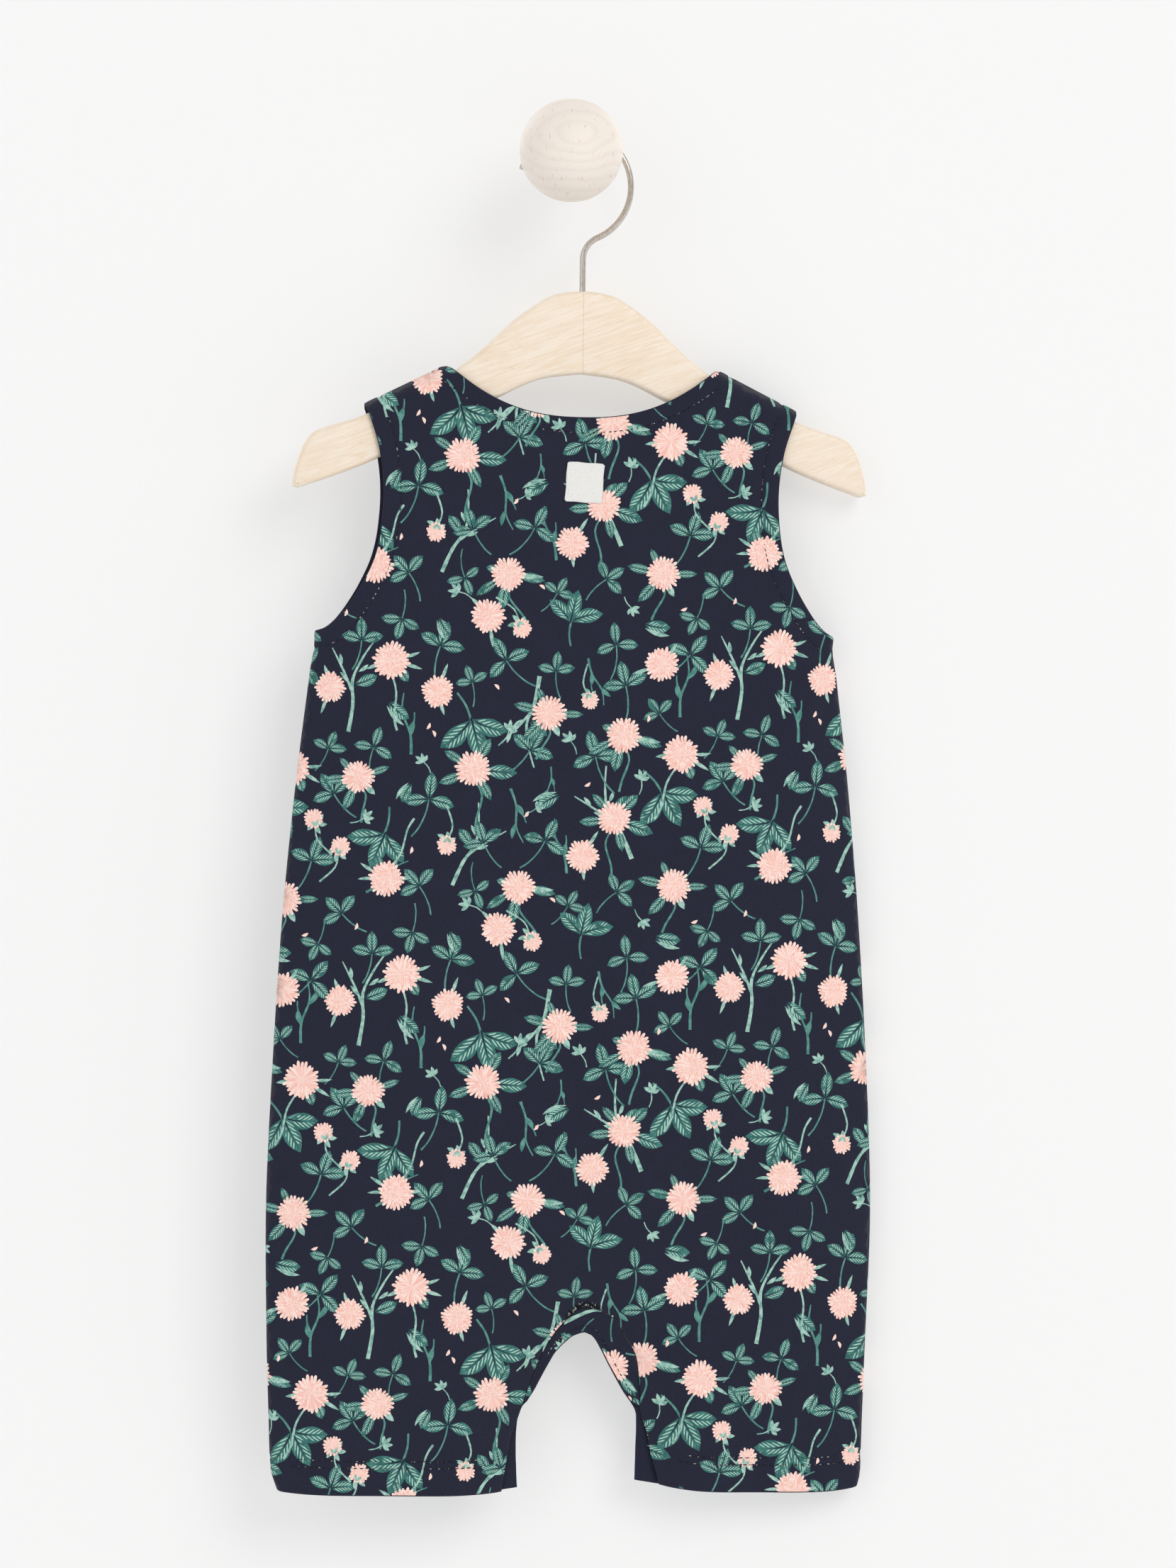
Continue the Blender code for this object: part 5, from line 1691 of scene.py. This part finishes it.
def cotton(name, knit, colour, fuzz_colour, rib=1.0, mottle=0.1, fuzz=0.25, draw=None):
    """Knitted cotton in one ink, with whatever is drawn on it."""
    made, tree, shader = finish(name, COTTON_ROUGHNESS, sheen=0.06)
    knitted = place_group(tree, knit, Rib_Depth=rib, Mottle=mottle)
    base = draw(tree) if draw else colour
    # The knit's Shade holds painted shade of its relief as well as its real mottle, and darkens the ink here.
    base = shaded(tree, base, knitted["Shade"])
    base = blend(tree, times(tree, knitted["Fuzz"], fuzz), base, fuzz_colour)
    tree.links.new(base, shader.inputs["Base Color"])
    raise_surface(tree, shader, knitted["Height"], KNIT_BUMP, 0.8)
    return made


def leaf_ink(drawing):
    def draw(tree):
        drawn = place_group(tree, drawing)
        cloth = layer(tree, "cloth")
        uneven_ink = smooth_step(tree, noise(tree, cloth, 0.22, 3.0, 0.6), 0.35, 0.7)
        base = blend(tree, uneven_ink, LEAF_DARK, LEAF)
        base = blend(tree, drawn["Stroke"], base, SPROUT)
        return blend(tree, drawn["Vein"], base, NAVY)

    return draw


def stem_ink(tree):
    cloth = layer(tree, "cloth")
    return blend(tree, smooth_step(tree, noise(tree, cloth, 0.3, 2.0), 0.3, 0.7), LEAF, STEM)


def sprout_ink(tree):
    cloth = layer(tree, "cloth")
    streak = layer(tree, "motif")
    thin = smooth_step(tree, noise(tree, streak, 3.0, 1.0), 0.55, 0.7)
    base = blend(tree, smooth_step(tree, noise(tree, cloth, 0.4, 2.0), 0.35, 0.75), SPROUT, STEM)
    return blend(tree, times(tree, thin, 0.45), base, STEM)


def flower_ink(drawing):
    def draw(tree):
        drawn = place_group(tree, drawing)
        base = blend(tree, times(tree, drawn["Pale"], 0.75), PINK, PALE_PINK)
        base = blend(tree, times(tree, drawn["Deep"], 0.55), base, DEEP_PINK)
        return blend(tree, times(tree, drawn["Rim"], 0.3), base, PALE_PINK)

    return draw


def petal_ink(tree):
    cloth = layer(tree, "cloth")
    return blend(tree, noise(tree, cloth, 0.8, 1.0), PALE_PINK, PINK)


def cotton_finishes():
    """Finishes of the printed cloth, in the order of its inks, and its plain reverse."""
    knit = jersey_knit()
    return [
        cotton("navy jersey", knit, NAVY, NAVY_FUZZ, 1.0, 0.25, 0.3),
        cotton("leaf ink", knit, LEAF, PALE_FUZZ, 0.7, 0.15, 0.12, leaf_ink(leaf_drawing())),
        cotton("stem ink", knit, STEM, PALE_FUZZ, 0.7, 0.15, 0.12, stem_ink),
        cotton("sprout ink", knit, SPROUT, PALE_FUZZ, 0.6, 0.1, 0.15, sprout_ink),
        cotton("flower ink", knit, PINK, PALE_FUZZ, 0.45, 0.06, 0.1, flower_ink(flower_drawing())),
        cotton("petal ink", knit, PALE_PINK, PALE_FUZZ, 0.4, 0.06, 0.1, petal_ink),
        cotton("plain reverse", knit, CREAM, CREAM_FUZZ, 0.8, 0.12, 0.3),
    ]


def thread_finish(name, colour):
    """Twisted sewing thread, with a slight gloss and small pale glints; the twist's ridges are painted
    lighter, as painted light on its bumps.
    """
    made, tree, shader = finish(name, 0.55)
    place = object_place(tree)
    twist = node(
        tree, "TexWave", {"Vector": place, "Scale": 900.0, "Distortion": 1.5}, bands_direction="DIAGONAL"
    )
    glint = smooth_step(tree, noise(tree, place, 700.0, 1.0), 0.58, 0.64)
    light = tuple(min(1.0, part * 1.8 + 0.02) for part in colour[:3]) + (1.0,)
    # Painted highlight: the twist's ridges, which the bump below raises, are painted lighter than its
    # grooves.
    base = blend(tree, times(tree, twist.outputs["Fac"], 0.35), colour, light)
    base = blend(tree, times(tree, glint, 0.7), base, GLINT)
    tree.links.new(base, shader.inputs["Base Color"])
    raise_surface(tree, shader, twist.outputs["Fac"], 0.05 * MM)
    return made


WEFT, WARP = 0.3, 0.42           # spacing of the tape's threads, mm


def label_finish():
    """Fine satin-woven tape, plain white, faintly soiled in small patches."""
    made, tree, shader = finish("white woven tape", 0.6, sheen=0.1)
    place = layer(tree, "cloth")
    split = node(tree, "SeparateXYZ", {0: place}).outputs
    weft = sum_up(tree, "SINE", times(tree, split[1], 2 * pi / WEFT))
    slanted = times(tree, split[1], 2.0)
    warp = sum_up(tree, "SINE", sum_up(tree, "MULTIPLY_ADD", split[0], 2 * pi / WARP, slanted))
    weave = sum_up(tree, "MULTIPLY_ADD", warp, 0.4, weft)
    uneven_thread = noise(tree, place, 1.1, 3.0)
    height = sum_up(tree, "ADD", weave, uneven_thread)
    # Painted shade: the weave's height makes the white a touch darker between its threads.
    shade = sum_up(tree, "MULTIPLY_ADD", weave, 0.018, 0.99)
    base = blend(tree, smooth_step(tree, uneven_thread, 0.4, 0.75), PAPER_WHITE, SOFT_WHITE)
    tree.links.new(shaded(tree, base, shade), shader.inputs["Base Color"])
    raise_surface(tree, shader, height, 0.05 * MM)
    return made


def birch_finish(name, grain, turn, offset, dark=0.0):
    """Clear-lacquered birch, whose fibres follow the hanger's arm."""
    made, tree, shader = finish(name, 0.42)
    shader.inputs["Specular IOR Level"].default_value = 0.45
    shader.inputs["Coat Roughness"].default_value = 0.35
    shader.inputs["Coat Weight"].default_value = 0.08
    wood = place_group(tree, grain, Turn=turn, Bands=1.0, Offset=offset)
    base = blend(tree, wood["Band"], BIRCH_LIGHT, BIRCH_MID)
    base = blend(tree, times(tree, smooth_step(tree, wood["Fibre"], 0.46, 0.7), 0.5), base, BIRCH_DARK)
    base = blend(tree, times(tree, wood["Fleck"], 0.65), base, BIRCH_DARK)
    base = blend(tree, dark, base, BIRCH_WARM)
    place = object_place(tree)
    cloudy = smooth_step(tree, noise(tree, place, 28.0, 3.0), 0.4, 0.75)
    base = blend(tree, times(tree, cloudy, 0.35), base, BIRCH_CLOUD)
    tree.links.new(base, shader.inputs["Base Color"])
    rough = node(tree, "MapRange", {"Value": wood["Fibre"], "To Min": 0.36, "To Max": 0.52}).outputs[0]
    tree.links.new(rough, shader.inputs["Roughness"])
    raise_surface(tree, shader, wood["Fibre"], 0.05 * MM, 0.6)
    return made


# Where the rings' middle lies, how they are squashed each way, and how close they are.
RING_SHIFT, RING_SQUASH, RINGS_PER_METRE = (-0.0035, 0.058, -0.008), (0.62, 0.15, 1.0), 250.0


def beech_finish():
    """Pale oiled beech turned across the trunk: wide rings with short darker rays."""
    made, tree, shader = finish("turned beech", 0.5)
    shader.inputs["Specular IOR Level"].default_value = 0.4
    place = object_place(tree)
    shifted = node(tree, "VectorMath", {0: place, 1: RING_SHIFT}, operation="ADD").outputs[0]
    flat = scaled(tree, shifted, RING_SQUASH)
    away = node(tree, "VectorMath", {0: flat}, operation="LENGTH").outputs["Value"]
    bent = sum_up(tree, "MULTIPLY_ADD", noise(tree, place, 30.0, 2.0), 0.009, away)
    ring = sum_up(tree, "FRACT", times(tree, bent, RINGS_PER_METRE))
    late = times(tree, smooth_step(tree, ring, 0.35, 0.92), smooth_step(tree, ring, 1.0, 0.95))
    rays = scaled(tree, place, (900.0, 160.0, 260.0))
    ray = smooth_step(tree, noise(tree, rays, 1.0, 1.0, 0.5, 0.3), 0.64, 0.74)
    pores = smooth_step(tree, noise(tree, place, 1800.0, 2.0), 0.6, 0.75)
    base = blend(tree, times(tree, late, 0.42), BEECH_LIGHT, BEECH_MID)
    base = blend(tree, times(tree, ray, 0.45), base, BEECH_DARK)
    base = blend(tree, times(tree, pores, 0.3), base, BEECH_DARK)
    tree.links.new(base, shader.inputs["Base Color"])
    raise_surface(tree, shader, sum_up(tree, "ADD", pores, ray), 0.03 * MM, 0.4)
    return made


def brushed_metal(name, colour, roughness, fine=2600.0):
    """Plated metal with fine drawn lines and slow patches of handling."""
    made, tree, shader = finish(name, roughness, 1.0)
    place = object_place(tree)
    stretched = scaled(tree, place, (1.0, 1.0, 0.12))
    brush = noise(tree, stretched, fine, 3.0, 0.7)
    smear = noise(tree, place, 90.0, 2.0)
    dark = tuple(part * 0.62 for part in colour[:3]) + (1.0,)
    base = blend(tree, smooth_step(tree, brush, 0.3, 0.75), dark, colour)
    tree.links.new(base, shader.inputs["Base Color"])
    rough = node(
        tree, "MapRange", {"Value": smear, "To Min": roughness - 0.07, "To Max": roughness + 0.12}
    ).outputs[0]
    tree.links.new(rough, shader.inputs["Roughness"])
    raise_surface(tree, shader, brush, 0.02 * MM, 0.5)
    return made


def see_through_behind(name, colour, grain_size, glow):
    """A painted surface, lit a little from within, that is only there for a viewer in front of it."""
    made, tree, shader = finish(name, 0.9)
    shader.inputs["Emission Color"].default_value = (1.0, 1.0, 1.0, 1.0)
    shader.inputs["Emission Strength"].default_value = glow
    place = object_place(tree)
    rough_coat = noise(tree, place, grain_size, 3.0)
    base = blend(tree, times(tree, rough_coat, 0.02), colour, PAINT_FLECK)
    tree.links.new(base, shader.inputs["Base Color"])
    raise_surface(tree, shader, rough_coat, 0.1 * MM, 0.3)
    clear = node(tree, "BsdfTransparent").outputs[0]
    behind = node(tree, "NewGeometry").outputs["Backfacing"]
    shadow = node(tree, "LightPath").outputs["Is Shadow Ray"]
    share = sum_up(tree, "MAXIMUM", behind, shadow)
    mixed = node(tree, "MixShader", {0: share, 1: shader.outputs[0], 2: clear}).outputs[0]
    tree.links.new(mixed, tree.nodes["Material Output"].inputs["Surface"])
    return made


# ---------------------------------------------------------------- the garment
# Length of a stitch, and the gap after it.
NECK_STITCH = (2.05, 0.62)
HEM_STITCH = (2.5, 0.55)
TACK_STITCH, TACK_SKEW = (0.5, 0.32), 1.6
TACK_HALF, TACK_RISE, TACK_STEP = 13.0, 0.8, 0.6     # half its width, its place above the seam, its points
STITCH_LIFT, TACK_LIFT = THREAD_RADIUS * 0.7, THREAD_RADIUS * 0.6
# Where the chart's corner lies on each piece, the chart's lean, and -1 where it is seen from the front.
BACK_PRINT = ((-136.0, -34.0), REPEAT_LEAN)
FRONT_PRINT = ((118.0, -78.0), REPEAT_LEAN, -1)
BACK_BAND_PRINT = ((-60.0, 438.0), 38.0)
FRONT_BAND_PRINT = ((40.0, 400.0), -12.0, -1)
BAND_RIBS = radians(-38.0)


def sewn_rows(piece):
    """All rows of stitches along a piece's finished edges."""
    stitches = []
    for kind, rows in STITCH_ROWS.items():
        long, gap = HEM_STITCH if kind in ("hem", "band_hem") else NECK_STITCH
        for line in piece.lines(kind):
            for row in rows:
                path = offset_row(evenly(line, 1.5), row)
                keep = distance_to(outline_of(piece), path) > row * 0.8
                if keep.sum() > 3:
                    stitches += stitch_run(piece, path[keep], long, gap, STITCH_LIFT)
    return stitches


def bar_tack(piece):
    """Dense overlocking over the crotch, along the seam between panel and band."""
    near = piece.arch_line[np.abs(piece.arch_line[:, 0] - CROTCH_X) < TACK_HALF]
    path = evenly(near, TACK_STEP) - (0.0, TACK_RISE)
    return stitch_run(piece, path, *TACK_STITCH, TACK_LIFT, skew=TACK_SKEW)


def add_garment(finishes, thread, tape):
    back = Panel(-1, *BACK_NECK, BACK_ARCH, BACK_FOLDS + BACK_CREASES)
    front = Panel(1, *FRONT_NECK, FRONT_ARCH, FRONT_FOLDS + FRONT_CREASES)
    back_band = Band(-1, BACK_ARCH, BACK_EDGE, BACK_BAND_END)
    front_band = Band(1, FRONT_ARCH, FRONT_EDGE, FRONT_BAND_END)
    pieces = (
        ("back_cloth", "back_panel", back, BACK_PRINT, 0.0, ["hanger"]),
        ("front_cloth", "front_panel", front, FRONT_PRINT, 0.0, ["hanger", "back_cloth"]),
        ("back_band", "back_placket", back_band, BACK_BAND_PRINT, BAND_RIBS, ["back_cloth"]),
        ("front_band", "front_placket", front_band, FRONT_BAND_PRINT, BAND_RIBS, ["front_cloth"]),
    )
    tile = chart_tile()
    for name, solid, shape, pattern, ribs, rests_on in pieces:
        mesh, area = cloth_mesh(name, shape, Print(tile, *pattern), ribs)
        cloth = piece_from(name, mesh, finishes)
        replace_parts(cloth, solid)
        rows = sewn_rows(shape)
        if name == "back_cloth":
            rows += bar_tack(shape)
        sewn = name + "_stitches"
        with_pieces = [piece_from(sewn, stitches_mesh(sewn, rows), [thread])]
        if name == "back_cloth":
            patch = piece_from("label_patch", label_mesh(shape), [tape])
            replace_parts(patch, "label")
            with_pieces.append(patch)
        shape.flat_size()


def add_studs(metal):
    for number, place in enumerate(stud_places(), 1):
        seat = PLACKET_HALF + SEAM_GAP * 1.5
        rings = [(STUD_RADIUS * out, seat + STUD_THICK * up) for out, up in STUD_RINGS]
        middle = (place[0], NECK_PEAK_Z - place[1])
        ends = (seat + STUD_THICK * 0.8, seat)
        mesh = turned_mesh(f"stud_cap_{number}", rings, ends, middle, STUD_SIDES, HANG)
        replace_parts(piece_from(f"stud_cap_{number}", mesh, [metal]), f"press_stud_{number}")


def add_hanging_parts():
    grain = wood_grain()
    left = birch_finish("birch, left half", grain, radians(20.0), 0.013, 0.5)
    right = birch_finish("birch, right half", grain, radians(-22.0), 0.041)
    hanger = piece_from("hanger", hanger_mesh(), [left, right])
    hanger.matrix_world = HANG
    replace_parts(hanger, "hanger_wood")
    hook = piece_from("hook", hook_mesh(), [brushed_metal("brushed nickel", NICKEL, 0.22)])
    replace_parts(hook, "hook_wire")
    knob = piece_from("knob", knob_mesh(), [beech_finish()])
    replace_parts(knob, "wall_knob")


# ---------------------------------------------------------------- room, light and camera
IMAGE_HEIGHT = 0.7631            # what the picture takes in at the garment, m
CAMERA_REACH = 4.5               # from the camera to the garment, m
SENSOR_WIDTH = 36.0
LOOK_AT = (0.0081, -0.026, -0.3062)
WALL_FACE = 0.0006               # just behind the knob's foot
ROOM_HALF_WIDTH, ROOM_TOP, FLOOR_LEVEL, FLOOR_REACH = 6.0, 5.0, -0.85, 7.0
WORLD_STRENGTH = 0.56
# Lamps: name, place, what it shines at, width and height, watts, colour.
LAMPS = (
    ("window", (3.52, -6.08, 3.43), (0.0, 0.0, -0.25), (4.2, 4.2), 205.0, (1.0, 0.985, 0.96)),
    ("fill", (-4.5, -5.4, 1.9), (0.0, 0.0, -0.3), (5.1, 5.1), 61.0, (0.97, 0.985, 1.0)),
    ("behind left", (-3.96, 5.4, 2.64), (0.0, 0.0, -0.3), (4.3, 4.3), 90.0, (1.0, 1.0, 1.0)),
    ("behind right", (4.3, 5.4, 1.86), (0.0, 0.0, -0.3), (4.3, 4.3), 58.0, (1.0, 1.0, 1.0)),
)


def plane(name, corners, paint):
    mesh = bpy.data.meshes.new(name)
    mesh.from_pydata(corners, [], [(0, 1, 2, 3)])
    made = bpy.data.objects.new(name, mesh)
    mesh.materials.append(paint)
    bpy.context.scene.collection.objects.link(made)
    return made


def soft_light(name, place, towards, size, power, colour):
    lamp = bpy.data.lights.new(name, "AREA")
    lamp.shape, lamp.size, lamp.size_y = "RECTANGLE", size[0], size[1]
    lamp.energy, lamp.color = power, colour
    made = bpy.data.objects.new(name, lamp)
    made.location = place
    made.rotation_euler = (Vector(towards) - Vector(place)).to_track_quat("-Z", "Y").to_euler()
    bpy.context.scene.collection.objects.link(made)
    return made


def add_room():
    scene = bpy.context.scene
    scene.view_settings.view_transform = "Standard"
    wide, high, low, deep = ROOM_HALF_WIDTH, ROOM_TOP, FLOOR_LEVEL, FLOOR_REACH
    plane(
        "wall",
        [(x, WALL_FACE, z) for x, z in ((-wide, low), (wide, low), (wide, high), (-wide, high))],
        see_through_behind("wall paint", WALL_PAINT, 220.0, 0.45),
    )
    plane(
        "floor",
        [(-wide, deep, low), (-wide, -deep, low), (wide, -deep, low), (wide, deep, low)],
        see_through_behind("floor paint", FLOOR_PAINT, 60.0, 0.25),
    )
    world = bpy.data.worlds.new("studio")
    world.use_nodes = True
    glow = world.node_tree.nodes["Background"].inputs
    glow[0].default_value, glow[1].default_value = (1.0, 1.0, 1.0, 1.0), WORLD_STRENGTH
    scene.world = world
    for lamp in LAMPS:
        soft_light(*lamp)


def add_camera():
    lens = bpy.data.cameras.new("camera")
    lens.sensor_fit = "AUTO"
    lens.sensor_width = SENSOR_WIDTH
    lens.lens = lens.sensor_width * CAMERA_REACH / IMAGE_HEIGHT
    lens.clip_start, lens.clip_end = 0.1, 60.0
    camera = bpy.data.objects.new("camera", lens)
    camera.location = (LOOK_AT[0], LOOK_AT[1] - CAMERA_REACH, LOOK_AT[2])
    camera.rotation_euler = (pi / 2, 0.0, 0.0)
    bpy.context.scene.collection.objects.link(camera)
    bpy.context.scene.camera = camera


# ---------------------------------------------------------------- putting it together
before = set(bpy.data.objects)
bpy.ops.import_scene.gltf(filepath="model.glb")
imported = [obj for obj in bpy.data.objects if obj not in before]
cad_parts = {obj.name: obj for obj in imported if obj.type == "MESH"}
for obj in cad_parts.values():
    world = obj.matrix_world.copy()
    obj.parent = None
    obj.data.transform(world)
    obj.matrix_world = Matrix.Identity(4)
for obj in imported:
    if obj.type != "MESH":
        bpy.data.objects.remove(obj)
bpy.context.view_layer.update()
add_hanging_parts()
add_garment(
    cotton_finishes(),
    thread_finish("navy thread", THREAD),
    label_finish(),
)
add_studs(brushed_metal("plated stud", STUD_PLATE, 0.3, 1500.0))
add_room()
add_camera()
